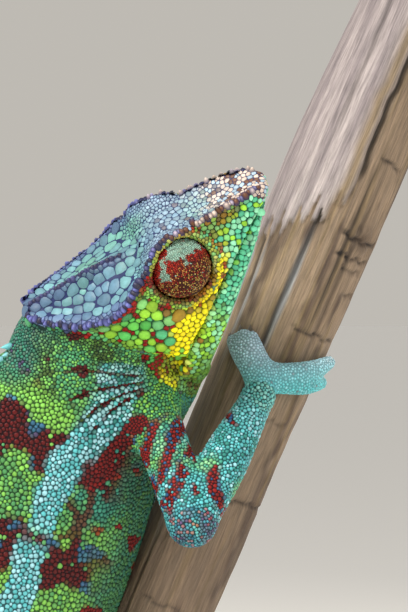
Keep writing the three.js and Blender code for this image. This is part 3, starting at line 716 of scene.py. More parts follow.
def new_mesh(name, points, quads, triangles=None):
    """A smooth mesh from points in millimetres and their indices."""
    triangles = np.empty((0, 3), int) if triangles is None else triangles
    mesh = bpy.data.meshes.new(name)
    corners = np.concatenate([quads.ravel(), triangles.ravel()]).astype(np.int32)
    starts = np.concatenate([np.arange(len(quads)) * 4, len(quads) * 4 + np.arange(len(triangles)) * 3])
    mesh.vertices.add(len(points))
    mesh.vertices.foreach_set("co", (np.asarray(points) * MM).astype(np.float32).ravel())
    mesh.loops.add(len(corners))
    mesh.loops.foreach_set("vertex_index", corners)
    mesh.polygons.add(len(starts))
    mesh.polygons.foreach_set("loop_start", starts.astype(np.int32))
    mesh.polygons.foreach_set("use_smooth", np.full(len(starts), True))
    mesh.update(calc_edges=True)
    piece = bpy.data.objects.new(name, mesh)
    bpy.context.scene.collection.objects.link(piece)
    return piece


def paint(piece, colours):
    layer = piece.data.attributes.new("colour", "FLOAT_COLOR", "POINT")
    opaque = np.column_stack([colours, np.ones(len(colours))])
    layer.data.foreach_set("color", opaque.astype(np.float32).ravel())


def chart_points(piece, uv):
    layer = piece.data.uv_layers.new(name="OFBake")
    corner = np.empty(len(piece.data.loops), np.int32)
    piece.data.loops.foreach_get("vertex_index", corner)
    layer.data.foreach_set("uv", uv[corner].astype(np.float32).ravel())


def small_forms(name, rings, tips, ring_colours, tip_colours):
    """One mesh of many small forms, each a stack of rings closed by a tip. rings[form, ring, turn]."""
    count, stack, around = rings.shape[:3]
    points = np.concatenate([rings.reshape(count, -1, 3), tips[:, None]], 1)
    tint = np.repeat(ring_colours, around, 1)
    tint = np.concatenate([tint, tip_colours[:, None]], 1)
    i = np.arange(around)
    nxt = (i + 1) % around
    row = (np.arange(stack - 1) * around)[:, None]
    quads = np.stack([row + i, row + nxt, row + around + nxt, row + around + i], -1).reshape(-1, 4)
    last = (stack - 1) * around
    fan = np.stack([last + i, last + nxt, np.full(around, stack * around)], -1)
    start = (np.arange(count) * points.shape[1])[:, None, None]
    quads, triangles = (start + quads).reshape(-1, 4), (start + fan).reshape(-1, 3)
    piece = new_mesh(name, points.reshape(-1, 3), quads, triangles)
    paint(piece, tint.reshape(-1, 3))
    return piece


def point_normals(points, quads):
    across = np.cross(points[quads[:, 2]] - points[quads[:, 0]], points[quads[:, 3]] - points[quads[:, 1]])
    total = np.zeros_like(points)
    for k in range(4):
        for axis in range(3):
            total[:, axis] += np.bincount(quads[:, k], across[:, axis], len(points))
    return unit(total)


# ---- Scales: where they grow, and how large ----

def scale_sizes(s, z):
    """The width of a scale at each point."""
    mixed = random.random(len(s.points))
    body = s.label == BODY
    tail = np.clip((s.arc - TAIL_ARC) / TAIL_LENGTH, 0, 1)
    size = np.where(mixed < 0.25, 1.2, np.where(mixed < 0.7, 0.98, 0.76)) - 0.08 * noise(s.points, 14, 1)
    size = np.where(body & (s.arc < 34), size * np.interp(s.arc, [12, 34], [0.72, 1.0]), size)
    size = np.where(body & (s.arc < 60), size * np.interp(s.arc, [45, 60], [0.9, 1.0]), size)
    size = np.where(body & (s.rise < -0.85), 1.0, size)
    size = np.where(body & (s.arc > TAIL_ARC), 1.1 - 0.4 * tail, size)
    size = np.where(s.limb_part == 0, np.where(mixed < 0.2, 0.86, 0.66), size)
    size = np.where(s.limb_part == 1, np.where(mixed < 0.2, 1.0, 0.66), size)
    size = np.where((s.limb_part == 0) & (s.limb_share > 0.85), 0.7, size)
    size = np.where(s.limb > 0, size * 1.4, size)
    size = np.where(s.limb_part == 2, 0.68, size)
    head = z["on_head"]
    size = np.where(head, 1.25, size)
    size = np.where(head & (s.along > -24), np.where(mixed < 0.3, 1.4, 0.95), size)
    lip = head & z["in_mouth"] & (z["lip"] < 3.6) & (z["lip"] > -4)
    size = np.where(lip, 1.15, size)
    cheek = head & (s.along < -24) & (z["lip"] > 1.5) & ~z["casque"]
    band = from_path(np.column_stack([s.along, s.up]), YELLOW_BAND)
    size = np.where(cheek, np.where(mixed < 0.45, 2.7, np.where(mixed < 0.7, 1.9, 1.0)), size)
    size = np.where(cheek & (band < 3.6), np.where(mixed < 0.5, 1.45, 1.15), size)
    size = np.where(cheek & (z["crest"] < 2.6) | (cheek & (s.along < -42.5)), 1.0, size)
    size = np.where(z["throat"], 0.9, size)
    size = np.where(head & (z["lip"] < -5.5), 0.95, size)
    plates = np.interp(-s.along, [0, 10, 24, 30, 44], [1.0, 1.2, 1.5, 3.0, 2.4])
    plates = plates * np.where(mixed < 0.5, 1.0, np.where(mixed < 0.85, 0.75, 0.5))
    size = np.where(z["casque"], plates, size)
    size = np.where(z["casque"] & (z["crest"] < 1.8), 0.95, size)
    size = np.where(z["casque"] & (z["ridge"] < 1.2) & (s.along < -27), 1.0, size)
    size = np.where(head & (s.eye < EYE_RADIUS + 3.0), 0.75, size)
    return size


ROOT_CELL = 1.25
ROOT_GAP = 0.41                                  # between two roots, as a share of both widths
TRIES_PER_SCALE = 7
BARE_GAP = 0.45                                  # beside the branch and the lips
LID_GAP = 0.35                                   # round the turrets
SETTLING_ROUNDS = 3


def thin_out(places, sizes, fixed_places, fixed_sizes):
    """The places that keep clear of the ones before them, by index."""
    cells = {}

    def key_of(p):
        return int(p[0] // ROOT_CELL), int(p[1] // ROOT_CELL), int(p[2] // ROOT_CELL)

    def is_free(x, y, v, w):
        cx, cy, cz = key_of((x, y, v))
        reach = 1 if w < 1.55 else 2 if w < 2.4 else 3
        for i in range(cx - reach, cx + reach + 1):
            for j in range(cy - reach, cy + reach + 1):
                for m in range(cz - reach, cz + reach + 1):
                    for qx, qy, qz, qw in cells.get((i, j, m), ()):
                        gap = ROOT_GAP * (w + qw)
                        if (x - qx) ** 2 + (y - qy) ** 2 + (v - qz) ** 2 < gap * gap:
                            return False
        return True

    for p, w in zip(fixed_places.tolist(), fixed_sizes.tolist()):
        cells.setdefault(key_of(p), []).append((*p, w))
    kept = []
    for k, (p, w) in enumerate(zip(places.tolist(), sizes.tolist())):
        if is_free(*p, w):
            cells.setdefault(key_of(p), []).append((*p, w))
            kept.append(k)
    return kept


def choose_roots(points, normals, quads, form, fixed_places, fixed_sizes):
    """Random places on the skin, about a scale's width apart."""
    corners = points[quads]
    centre = corners.mean(1)
    diagonals = np.cross(corners[:, 2] - corners[:, 0], corners[:, 3] - corners[:, 1])
    area = 0.5 * np.linalg.norm(diagonals, axis=1)
    s = Survey(centre, unit(normals[quads].sum(1)), form)
    z = head_zones(s)
    size = scale_sizes(s, z)
    bare = (s.eye < EYE_RADIUS + LID_GAP) | (from_branch(centre) < BARE_GAP)
    bare |= z["on_head"] & z["in_mouth"] & (np.abs(z["lip"]) < BARE_GAP)
    density = np.where(bare, 0, area / (0.72 * size ** 2))
    tries = random.poisson(density * TRIES_PER_SCALE)
    pick = np.repeat(np.arange(len(quads)), tries)
    order = np.argsort(-size[pick] + 0.25 * random.random(len(pick)))
    pick = pick[order]
    weight = random.dirichlet((1, 1, 1, 1), len(pick))
    place = (corners[pick] * weight[..., None]).sum(1)
    kept = thin_out(place, size[pick], fixed_places, fixed_sizes)
    return place[kept], size[pick][kept]


def neighbours(places, count):
    """For each place, the indices of the nearest others."""
    tree = kd_tree(places)
    return np.array([[n[1] for n in tree.find_n(p, count + 1)[1:]] for p in places])


def settle(places, sizes, tree, fixed):
    """Evens out the roots, each held on the skin. The first ones, as many as fixed, stay."""
    for _ in range(SETTLING_ROUNDS):
        near = neighbours(places, 7)
        away = places[:, None] - places[near]
        distance = np.maximum(np.linalg.norm(away, axis=2), 1e-6)
        wanted = 0.52 * (sizes[:, None] + sizes[near])
        push = (away / distance[..., None] * np.maximum(wanted - distance, 0)[..., None]).sum(1)
        moved = places + 0.3 * push
        moved[:fixed] = places[:fixed]
        hits = [tree.find_nearest(p) for p in moved.tolist()]
        places = np.array([h[0] for h in hits])
    return places, np.array([h[2] for h in hits])


def tangents(normals):
    """Two directions across each normal."""
    side = np.where(np.abs(normals[:, 2:]) < 0.9, (0.0, 0.0, 1.0), (1.0, 0.0, 0.0))
    x = unit(np.cross(side, normals))
    return x, np.cross(normals, x)


CHART_RADIUS = 0.0015                            # of a scale on the unwrap
# Each scale's tip is painted this much lighter than its colour: a painted highlight.
PAINTED_HIGHLIGHT_TONE = 1.12


class Scales:
    """Domes whose outlines meet their neighbours', as one or more joined meshes."""

    def __init__(self, places, normals, sizes):
        self.places, self.normals, self.sizes = places, normals, sizes
        self.near = neighbours(places, 11)

    def outlines(self, which, directions, seam, roundness):
        """How far each scale reaches in each direction."""
        turn = np.arange(directions) * 2 * np.pi / directions
        heading = np.column_stack([np.cos(turn), np.sin(turn)])
        x, y = tangents(self.normals[which])
        d = self.places[self.near[which]] - self.places[which][:, None]
        flat = np.stack([(d * x[:, None]).sum(2), (d * y[:, None]).sum(2)], -1)
        reach2 = (d ** 2).sum(2)
        own, other = self.sizes[which][:, None] / 2, self.sizes[self.near[which]] / 2
        along = flat @ heading.T
        border = (reach2 + own ** 2 - other ** 2)[..., None] / 2
        facing = (self.normals[self.near[which]] * self.normals[which][:, None]).sum(2) > 0.1
        far = 0.95 * self.sizes[which][:, None, None]
        reach = np.where((along > 1e-3) & facing[..., None], border / np.maximum(along, 1e-3), far)
        reach = np.minimum(reach.min(1), far[:, 0])
        reach = 0.8 * reach + 0.1 * (np.roll(reach, 1, 1) + np.roll(reach, -1, 1))
        middle = reach.mean(1, keepdims=True)
        reach = reach * (1 - roundness) + middle * roundness
        reach = np.minimum(reach, middle * 1.4)
        return np.maximum(reach - seam, 0.12), heading, x, y

    def make(self, name, which, profile, height, seam, roundness, directions, colours, seam_colours_with_shade, chart):
        """profile gives each ring's share of the outline, of the height and of the scale's own colour. The
        colour share paints shade, darker towards the edge, and the tip is painted lighter as a highlight.
        """
        reach, heading, x, y = self.outlines(which, directions, seam, roundness)
        place, normal = self.places[which], self.normals[which]
        rings, shades, charts = [], [], []
        for share, rise, tone in profile:
            flat = heading[None] * (reach * share)[..., None]
            lift = np.where(rise < 0, rise, rise * height)[:, None, None] * normal[:, None]
            rings.append(place[:, None] + flat[..., :1] * x[:, None] + flat[..., 1:] * y[:, None] + lift)
            # Painted shade: each ring is darker towards the scale's edge.
            shades.append(lay(seam_colours_with_shade, colours, tone))
            charts.append(chart[:, None] + heading[None] * CHART_RADIUS * share)
        top = place + normal * height[:, None]
        # The tip gets the painted highlight.
        piece = small_forms(name, np.stack(rings, 1), top, np.stack(shades, 1), colours * PAINTED_HIGHLIGHT_TONE)
        uv = np.concatenate([np.stack(charts, 1).reshape(len(place), -1, 2), chart[:, None]], 1)
        chart_points(piece, uv.reshape(-1, 2))
        return piece


# ---- Colours of the animal ----

PLATE, PLATE_BLUE, PLATE_GREEN = shade("6f9fa4"), shade("5a7c92"), shade("659c8a")
PLATE_DARK, PLATE_PALE = shade("3a4468"), shade("a3b9c8")
INDIGO, VIOLET, CREST_DARK = shade("2b3160"), shade("7a7ec2"), shade("35323e")
CREAM, RUST, CREST_VIOLET = shade("cdb9aa"), shade("6b4630"), shade("686cab")
LIP_TEAL, LIP_LIGHT, LOREAL = shade("5cc79a"), shade("98eaba"), shade("86a843")
CHEEK_LIME, CHEEK_GREEN, CHEEK_TEAL = shade("9ddc3e"), shade("5cc257"), shade("5cc4a4")
YELLOW, YELLOW_WARM, YELLOW_GREEN = shade("fbf012"), shade("edc912"), shade("cfe22e")
CREAM_YELLOW, THROAT = shade("c9c063"), shade("63903a")
RED, DARK_RED, MAROON = shade("a3180f"), shade("4a0a09"), shade("5a0e0e")
EYE_RED, EYE_GREY, EYE_DARK, EYE_GOLD = shade("8e2210"), shade("92b0a0"), shade("3c1a0a"), shade("b29a4a")
OLIVE, NECK_GREEN, LIME = shade("45602a"), shade("4d9a68"), shade("7fbf50")
GREEN, TEAL, AQUA, PALE_AQUA = shade("4c8f57"), shade("358a80"), shade("5ab8bc"), shade("a4dae4")
BLUE, HAND_BLUE, LAVENDER = shade("23507c"), shade("62c4c8"), shade("b6c6d6")
SEAM = shade("16333a")

BAR_FIRST = 41.0                                 # along the body from the start of the neck
BAR_PITCH = 24.5
BAR_HALF = 5.6
STRIPE_HALF = 3.9
TAIL_BAR_PITCH = 17.0
FLANK_HEIGHT = 29.0                              # of the trunk above its middle line
# The middle of the shoulder's dark patch, along the body and over its middle line.
SHOULDER_PATCH = np.array([[28.2, -6.4], [33.0, -5.6], [39.6, -3.4], [44.4, -2.2]])
# The middle of the face's yellow band, along and up.
YELLOW_BAND = np.array([[-15.4, 1.6], [-20.8, 1.2], [-24.5, 1.2], [-29.3, 1.9],
                        [-35.0, 2.1], [-40.0, 1.0], [-48.0, -2.0]])


def stripe_middle(arc):
    return np.interp(arc, [18, 25, 29, 35, 42, 60, TAIL_ARC], [-0.45, -0.2, 0.02, 0.13, 0.22, 0.18, 0.1])


def bar_distance(arc, first, pitch):
    """How far a place is from the middle of the nearest bar."""
    return np.abs((arc - first + pitch / 2) % pitch - pitch / 2)


def trunk_colours(s, luck):
    p = s.points
    broad, mid, fine = noise(p, 11, 1), noise(p, 5, 2), noise(p, 2.4, 3)
    c = lay(GREEN, LIME, step_between(-0.5, 0.6, broad + 0.5 * mid + luck - 0.5))
    c = lay(c, TEAL, step_between(0.1, 0.8, -broad + 0.5 * fine) * 0.7)
    low = step_between(-0.25, -0.65, s.rise)
    c = lay(c, lay(TEAL, GREEN, luck), low * 0.75)
    bar = bar_distance(s.arc, BAR_FIRST, BAR_PITCH) + 2.6 * mid + 1.4 * fine
    bar = step_between(BAR_HALF + 0.6, BAR_HALF - 0.6, bar) * step_between(-0.62, -0.3, s.rise + 0.2 * mid)
    bar *= (s.arc > 33) & (s.arc < TAIL_ARC) & (luck > 0.06)
    c = lay(c, lay(MAROON, DARK_RED, luck * 0.6), bar)
    blotch = step_between(0.3, 0.45, noise(p, 3.6, 8)) * bar
    c = lay(c, lay(BLUE, AQUA, 0.35 * luck), blotch * 0.9)
    dash = noise(np.column_stack([s.arc, s.rise * 9, s.side * 2]), 2.3, 9)
    dash = step_between(0.3, 0.42, dash) * step_between(-0.15, -0.35, s.rise)
    c = lay(c, RED * 0.75, dash * (s.arc > 30) * (s.arc < TAIL_ARC))
    thread = step_between(0.16, 0.08, np.abs(noise(p, 8, 12))) * (s.arc < 60) * (s.arc > 22)
    c = lay(c, MAROON, thread * 0.85 * step_between(-0.5, -0.2, s.rise) * step_between(0.35, 0.1, s.rise))
    half = STRIPE_HALF + 1.2 * noise(p, 6, 4) + 0.8 * fine
    stripe = step_between(1.08, 0.86, np.abs(s.rise - stripe_middle(s.arc)) * FLANK_HEIGHT / half)
    broken = unit_bump(bar_distance(s.arc, BAR_FIRST + 0.85 * BAR_PITCH, BAR_PITCH), 1.7) * (s.arc > 55)
    stripe *= (1 - broken) * step_between(24, 30, s.arc) * step_between(TAIL_ARC - 8, TAIL_ARC - 22, s.arc)
    c = lay(c, lay(AQUA, PALE_AQUA, step_between(0.25, 1.1, luck)), stripe)
    # Painted shade: the lower flank and the belly are darkened towards the underside.
    c = c * (1 - 0.5 * step_between(-0.35, -0.7, s.rise + 0.15 * mid))[:, None]
    return lay(c, PALE_AQUA * 0.8, step_between(-0.955, -0.985, s.rise) * (s.arc < TAIL_ARC))


def shoulder_patch(s, luck):
    """The dark red patch from the neck down to the right arm, from 0 to 1."""
    p = s.points
    patch = from_path(np.column_stack([s.arc, FLANK_HEIGHT * s.rise]), SHOULDER_PATCH)
    patch = patch + noise(p, 5, 2) + 0.6 * noise(p, 2.4, 3)
    on = (s.limb < 0) | ((s.limb == 0) & (s.limb_part == 0) & (s.limb_share < 0.3 + 0.05 * noise(p, 3, 16)))
    return step_between(3.4, 2.6, patch) * (luck > 0.07) * on * (s.side > 0)


def neck_colours(s, luck):
    p = s.points
    mid = noise(p, 6, 2)
    c = lay(NECK_GREEN, OLIVE, step_between(0.2, -0.5, mid + luck - 0.5))
    c = lay(c, LIME, step_between(0.45, 0.9, luck) * 0.8)
    c = lay(c, DARK_RED * 1.3, step_between(0.42, 0.5, noise(p, 2.6, 7)) * (luck > 0.15))
    low = step_between(-0.5, -0.85, s.rise)
    c = lay(c, lay(AQUA, NECK_GREEN, luck), low * 0.7)
    return lay(c, lay(TEAL * 0.6, PLATE_DARK, luck > 0.6), step_between(0.6, 0.9, s.rise + 0.15 * mid) * 0.7)


def tail_colours(s, luck):
    p = s.points
    share = np.clip((s.arc - TAIL_ARC) / TAIL_LENGTH, 0, 1)
    mid, fine = noise(p, 5, 2), noise(p, 2, 3)
    c = lay(GREEN, LIME, step_between(0.3, 0.9, luck))
    c = lay(c, TEAL, step_between(-0.2, 0.7, mid) * 0.8)
    bar = bar_distance(s.arc, TAIL_ARC + 6, TAIL_BAR_PITCH) + 1.2 * mid + 0.7 * fine
    bar = step_between(4.6, 3.6, bar)
    c = lay(c, lay(MAROON, BLUE, step_between(0.75, 0.85, luck)), bar * (1 - share) ** 0.5)
    return lay(c, lay(AQUA, LAVENDER, luck) * 0.8, share * 0.7)


# The bars of a limb's upper and lower part, in shares of the part's length.
LIMB_BAR_FIRST = (0.51, 0.30)
LIMB_BAR_PITCH = (0.23, 0.32)
LIMB_BAR_HALF = (0.068, 0.07)
THUMB_SIDE = (250, 262)                          # heights over which the inner bundle of the hand pales


def across_limb(s):
    """How far a place lies to the +X side of its limb's middle line."""
    across = np.zeros(len(s.points))
    for k, limb in enumerate(LIMBS.values()):
        stops = limb_points(limb)
        for part in (0, 1):
            start, end = stops[part:part + 2]
            on = (s.limb == k) & (s.limb_part == part)
            across[on] = (s.points[on] - start - s.limb_share[on][:, None] * (end - start))[:, 0]
    return across


def limb_bars(s, mid, fine):
    share = s.limb_share + 0.05 * mid + 0.03 * fine + 0.035 * across_limb(s)
    first, pitch, half = (np.where(s.limb_part == 0, upper, lower)
                          for upper, lower in (LIMB_BAR_FIRST, LIMB_BAR_PITCH, LIMB_BAR_HALF))
    bar = step_between(half + 0.02, half - 0.02, bar_distance(share, first, pitch)) * (s.limb_part < 2)
    bar *= step_between(0.2, 0.32, np.where(s.limb_part == 0, s.limb_share, 1))
    bar *= step_between(-0.3, -0.15, noise(s.points, 5, 11) - 0.3 * (s.limb_part == 1))
    return bar


def foot_colours(s, luck, mid):
    foot = lay(HAND_BLUE, AQUA, step_between(-0.3, 0.6, mid)) * 1.15
    foot = lay(foot, PALE_AQUA, step_between(0.4, 1, luck) * 0.5)
    foot = lay(foot, MAROON, (luck > 0.97) * 0.7)
    inner = step_between(*THUMB_SIDE, s.points[:, 2]) * (s.limb == 0)
    return lay(foot, lay(LAVENDER * 1.1, PALE_AQUA, luck * 0.5), inner * 0.95)


def limb_colours(s, luck):
    p = s.points
    mid, fine = noise(p, 4, 2), noise(p, 1.8, 3)
    c = lay(AQUA, TEAL, step_between(0.5, 0.1, luck + 0.3 * mid))
    c = lay(c, PALE_AQUA, step_between(0.8, 0.95, luck))
    green = step_between(0.75, 0.25, s.limb_share + 0.3 * mid) * (s.limb_part == 0)
    green = np.maximum(green, step_between(0.0, 0.5, noise(p, 7, 5)) * 0.7 * (s.limb_part < 2))
    c = lay(c, lay(NECK_GREEN, LIME, step_between(0.35, 0.8, luck)), green)
    bar = limb_bars(s, mid, fine)
    c = lay(c, lay(RED, MAROON, 0.35 + 0.65 * luck), bar)
    c = lay(c, lay(BLUE, AQUA, step_between(0.85, 1, luck)), bar * (luck > 0.7))
    bend = (s.limb_part == 0) * step_between(0.88, 1.0, s.limb_share)
    c = lay(c, lay(lay(BLUE, AQUA, luck), RED, luck > 0.88), bend * 0.7)
    wrist = step_between(0.62, 0.9, s.limb_share) * (s.limb_part == 1) * 0.7 * (1 - bar)
    c = lay(c, lay(AQUA, PALE_AQUA, luck * 0.6), wrist)
    return lay(c, foot_colours(s, luck, mid), s.limb_part == 2)


def face_colours(s, z, luck, small):
    """The sides of the face, the jaw and the eye's rim. small marks the scales between the cheek's plates."""
    p = s.points
    broad, mid, fine = noise(p, 9, 1), noise(p, 4, 2), noise(p, 1.8, 3)
    front = step_between(-25, -14, s.along)
    c = lay(CHEEK_GREEN, CHEEK_LIME, step_between(-0.6, 0.1, mid + luck - 0.5))
    c = lay(c, CHEEK_TEAL, step_between(0.1, 0.7, broad + 0.6 * fine) * 0.6)
    under_crest = step_between(5.0, 1.5, z["crest"] + 0.8 * fine) * (s.along < -26)
    c = lay(c, lay(OLIVE, PLATE_DARK, step_between(0.4, 0.8, luck)), under_crest * 0.8)
    c = lay(c, lay(lay(LOREAL, LIP_TEAL, luck > 0.55), CHEEK_LIME, luck < 0.25), front)
    rusty = front * step_between(6.2, 2.8, z["crest"] + 1.6 * fine)
    c = lay(c, lay(lay(RUST, LOREAL, luck > 0.5), EYE_RED, luck < 0.2), rusty * 0.8)
    lip = step_between(5.4, 4.0, z["lip"] + 0.6 * mid) * step_between(-38, -26, s.along)
    c = lay(c, lay(lay(LIP_TEAL, LIP_LIGHT, luck > 0.5), CHEEK_LIME, luck < 0.16), lip)
    band = from_path(np.column_stack([s.along, s.up]), YELLOW_BAND) + mid + 0.6 * fine + 0.5 * (luck - 0.5)
    width = np.interp(-s.along, [15, 22, 29, 36, 42, 49], [0.8, 1.6, 3.0, 3.5, 3.2, 2.6])
    gold = step_between(width + 0.5, width - 0.3, band) * step_between(-13.5, -18, s.along)
    gold *= np.where(s.along < -38, luck > 0.3, z["lip"] > -0.5)
    c = lay(c, lay(YELLOW, YELLOW_WARM, step_between(0.7, 1, luck) * 0.6),
            gold * np.where(s.along > -26, luck > 0.3, 1.0))
    near = step_between(width + 3.0, width + 0.6, band) * (s.along < -22) * (luck > 0.35)
    c = lay(c, YELLOW_GREEN, near * (1 - gold) * 0.7)
    behind = step_between(-40, -46, s.along + 1.2 * mid) * step_between(7, 11, z["lip"])
    fold = unit_bump(behind_crease(s) + 2.0, 1.3) * (s.up < 1) * (s.along < -44)
    c = lay(c, lay(lay(NECK_GREEN, OLIVE, luck > 0.45), PLATE_DARK, luck > 0.9), behind)
    red = (s.along < -25) & (z["lip"] > 2.5) & ~z["casque"] & (luck > 0.1) & (behind < 0.6)
    red = red & small & (noise(p, 3.4, 13) > -0.08)
    red = red | ((behind > 0.3) & (noise(p, 2.6, 14) > 0.45))
    c = lay(c, lay(RED, DARK_RED, luck * 0.5), red * (1 - 0.8 * gold))
    chin = step_between(-0.4, -1.2, z["lip"])
    lower = lay(LIP_TEAL, CHEEK_LIME, step_between(-24, -34, s.along + 3 * luck))
    lower = lay(lower, LIP_LIGHT, (luck > 0.65) * 0.8)
    lower = lay(lower, lay(EYE_RED, OLIVE, fine > 0), (luck < 0.16) * (s.along < -26) * 0.8)
    c = lay(c, lay(lower, THROAT, step_between(-34, -42, s.along) * step_between(-3, -8, s.up) * 0.85), chin)
    c = lay(c, lay(RUST, THROAT, luck > 0.5), fold * 0.8)
    ring = unit_bump(s.eye - EYE_RADIUS - 0.7, 0.8)
    ahead, above = (s.along - EYE_PLACE[0]) / EYE_RADIUS, (s.up - EYE_PLACE[2]) / EYE_RADIUS
    upper = step_between(-0.1, 0.5, ahead * 0.8 + above * 0.2)
    c = lay(c, lay(RED, RUST, luck), ring * (1 - upper) * 0.9)
    c = lay(c, lay(CREAM_YELLOW, LOREAL, luck > 0.7), ring * upper * 0.8)
    around = unit_bump(s.eye - EYE_RADIUS - 2.8, 1.3) * step_between(0.5, 0.3, luck)
    return lay(c, lay(RED, RUST, fine > 0), around * 0.9)


def casque_colours(s, z, luck):
    p = s.points
    broad, mid, fine = noise(p, 9, 1), noise(p, 4, 2), noise(p, 1.8, 3)
    rear = step_between(-24, -30, s.along)
    plate = lay(PLATE_BLUE, PLATE, step_between(-0.5, 0.5, broad + 0.4 * mid + luck - 0.5))
    greenish = 0.8 * step_between(-0.1, 0.7, noise(p, 8, 15) + 0.2 * luck)
    plate = lay(plate, PLATE_GREEN, greenish * step_between(1.5, 4.5, z["crest"]))
    plate = lay(plate, PLATE_DARK, step_between(3.4, 1.0, z["ridge"]) * rear * 0.75)
    plate = lay(plate, PLATE_PALE, (1 - rear) * (0.25 + 0.4 * luck) * step_between(-26, -18, s.along))
    edge = step_between(3.6, 0.8, z["crest"] + 0.5 * fine)
    plate = lay(plate, lay(PLATE_DARK, CREST_VIOLET, luck), edge * (0.2 + 0.6 * rear))
    rust_spots = step_between(0.5, 0.7, noise(p, 1.6, 17)) * (1 - rear) * (s.along > -20)
    plate = lay(plate, lay(RUST, PLATE_DARK, luck), rust_spots * 0.7)
    tip = step_between(-15, -5, s.along + 3 * fine)
    return lay(plate, lay(lay(CREAM, PLATE_PALE, luck > 0.78), RUST, luck < 0.26), tip * 0.95)


def flesh_colours(s, z, luck, small):
    """The colour of the skin or a scale at each point, where luck is a random value from 0 to 1."""
    c = trunk_colours(s, luck)
    c = lay(c, neck_colours(s, luck), step_between(30, 23, s.arc + 2 * noise(s.points, 5, 21)) * (s.limb < 0))
    fan, groove, angle, reach = neck_folds(s)
    fine = noise(s.points, 1.9, 3)
    ridge = fan * step_between(8, 16, angle) * step_between(92, 80, angle + 9 * fine)
    ridge *= step_between(17, 12, reach + 3 * fine - 8 * step_between(62, 50, angle))
    c = lay(c, lay(lay(TEAL, AQUA, luck > 0.25), PALE_AQUA, luck > 0.5), ridge * 0.8)
    dark = step_between(0.3, 0.55, groove + 0.15 * fine) * step_between(82, 74, angle)
    c = lay(c, lay(MAROON, OLIVE, step_between(0.75, 0.9, luck)), dark)
    c = lay(c, tail_colours(s, luck), step_between(TAIL_ARC - 6, TAIL_ARC + 3, s.arc))
    c = lay(c, limb_colours(s, luck), s.limb >= 0)
    c = lay(c, lay(MAROON, RED, luck * 0.4), shoulder_patch(s, luck))
    head = lay(face_colours(s, z, luck, small), casque_colours(s, z, luck), z["casque"])
    return lay(c, head, z["on_head"] | z["throat"])


# ---- Knobs along the crests, placed before the other scales ----

CREST_KNOB = 0.95                                # width of a knob


def crest_roots(tree):
    """Places and widths of the knobs on the crests, and 1 for those of the dark middle ridge."""
    lines = []
    for side in (1, -1):
        rows = smooth_rows(CREST, np.linspace(0, len(CREST) - 1, 600))
        lines.append((head_point(rows[:, 0], side * rows[:, 2], rows[:, 1]), 0.0))
    rows = smooth_rows(RIDGE, np.linspace(0, len(RIDGE) - 1, 300))
    lines.append((head_point(rows[:, 0], 0, rows[:, 1]), 1.0))
    places, sizes, dark = [], [], []
    for path, darkness in lines:
        reach = travelled(path)
        spot = 0.5
        while spot < reach[-1]:
            size = CREST_KNOB * random.uniform(0.75, 1.35)
            p = np.array([np.interp(spot, reach, path[:, k]) for k in range(3)]) + random.normal(0, 0.16, 3)
            places.append(tree.find_nearest(p)[0])
            sizes.append(size)
            dark.append(darkness)
            spot += size * 0.92
    return np.array(places), np.array(sizes), np.array(dark)


# ---- Eyes ----

LID_RADIUS = EYE_RADIUS - 0.28
LID_OPENING = PUPIL_RADIUS / EYE_RADIUS          # half its angle, in radians
LID_SIDES = 96
LID_GRAIN = 0.42                                 # between the scales of a ring
# Rings of an eyelid grain, as for the scales: the colour share paints shade, darker towards the edge.
GRAIN_FORM = ((1.0, -0.12, 0.1), (0.7, 0.7, 0.9))
PUPIL_BLACK, IRIS_GOLD = shade("0a0908"), shade("a8772c")
IRIS_ANGLE = 0.62


def rays_about(look, polar, turn):
    """Directions by their angle from the look and their turn round it, in radians."""
    x, y = tangents(look[None])
    return (np.cos(polar)[..., None] * look + (np.sin(polar) * np.cos(turn))[..., None] * x[0]
            + (np.sin(polar) * np.sin(turn))[..., None] * y[0])


def turret_surface(side, gaze, polar, turn, radius):
    """Places on a turret and the directions to them from its middle."""
    ray = rays_about(eye_look(side, gaze), polar, turn)
    outward = side * HEAD_RIGHT
    inward = np.minimum(ray @ outward, 0)
    return eye_centre(side) + radius * (ray + (inward * (EYE_INNER_SHARE - 1))[..., None] * outward), ray


# Across, up and width of the eyelid's patches, in radii of the turret.
GREY_PATCHES = ((0.1, 0.55, 0.34), (-0.2, 0.42, 0.26), (0.42, 0.68, 0.2), (-0.5, 0.06, 0.13),
                (-0.55, -0.22, 0.12), (-0.4, -0.42, 0.09), (-0.08, 0.2, 0.1))
RED_PATCHES = ((0.5, 0.36, 0.16), (-0.28, 0.02, 0.14), (0.04, 0.14, 0.08), (-0.78, 0.3, 0.22),
               (-0.5, 0.72, 0.16))


def in_patches(a, b, patches):
    return sum(unit_bump(np.hypot(a - x, b - y), width * 1.2) for x, y, width in patches)


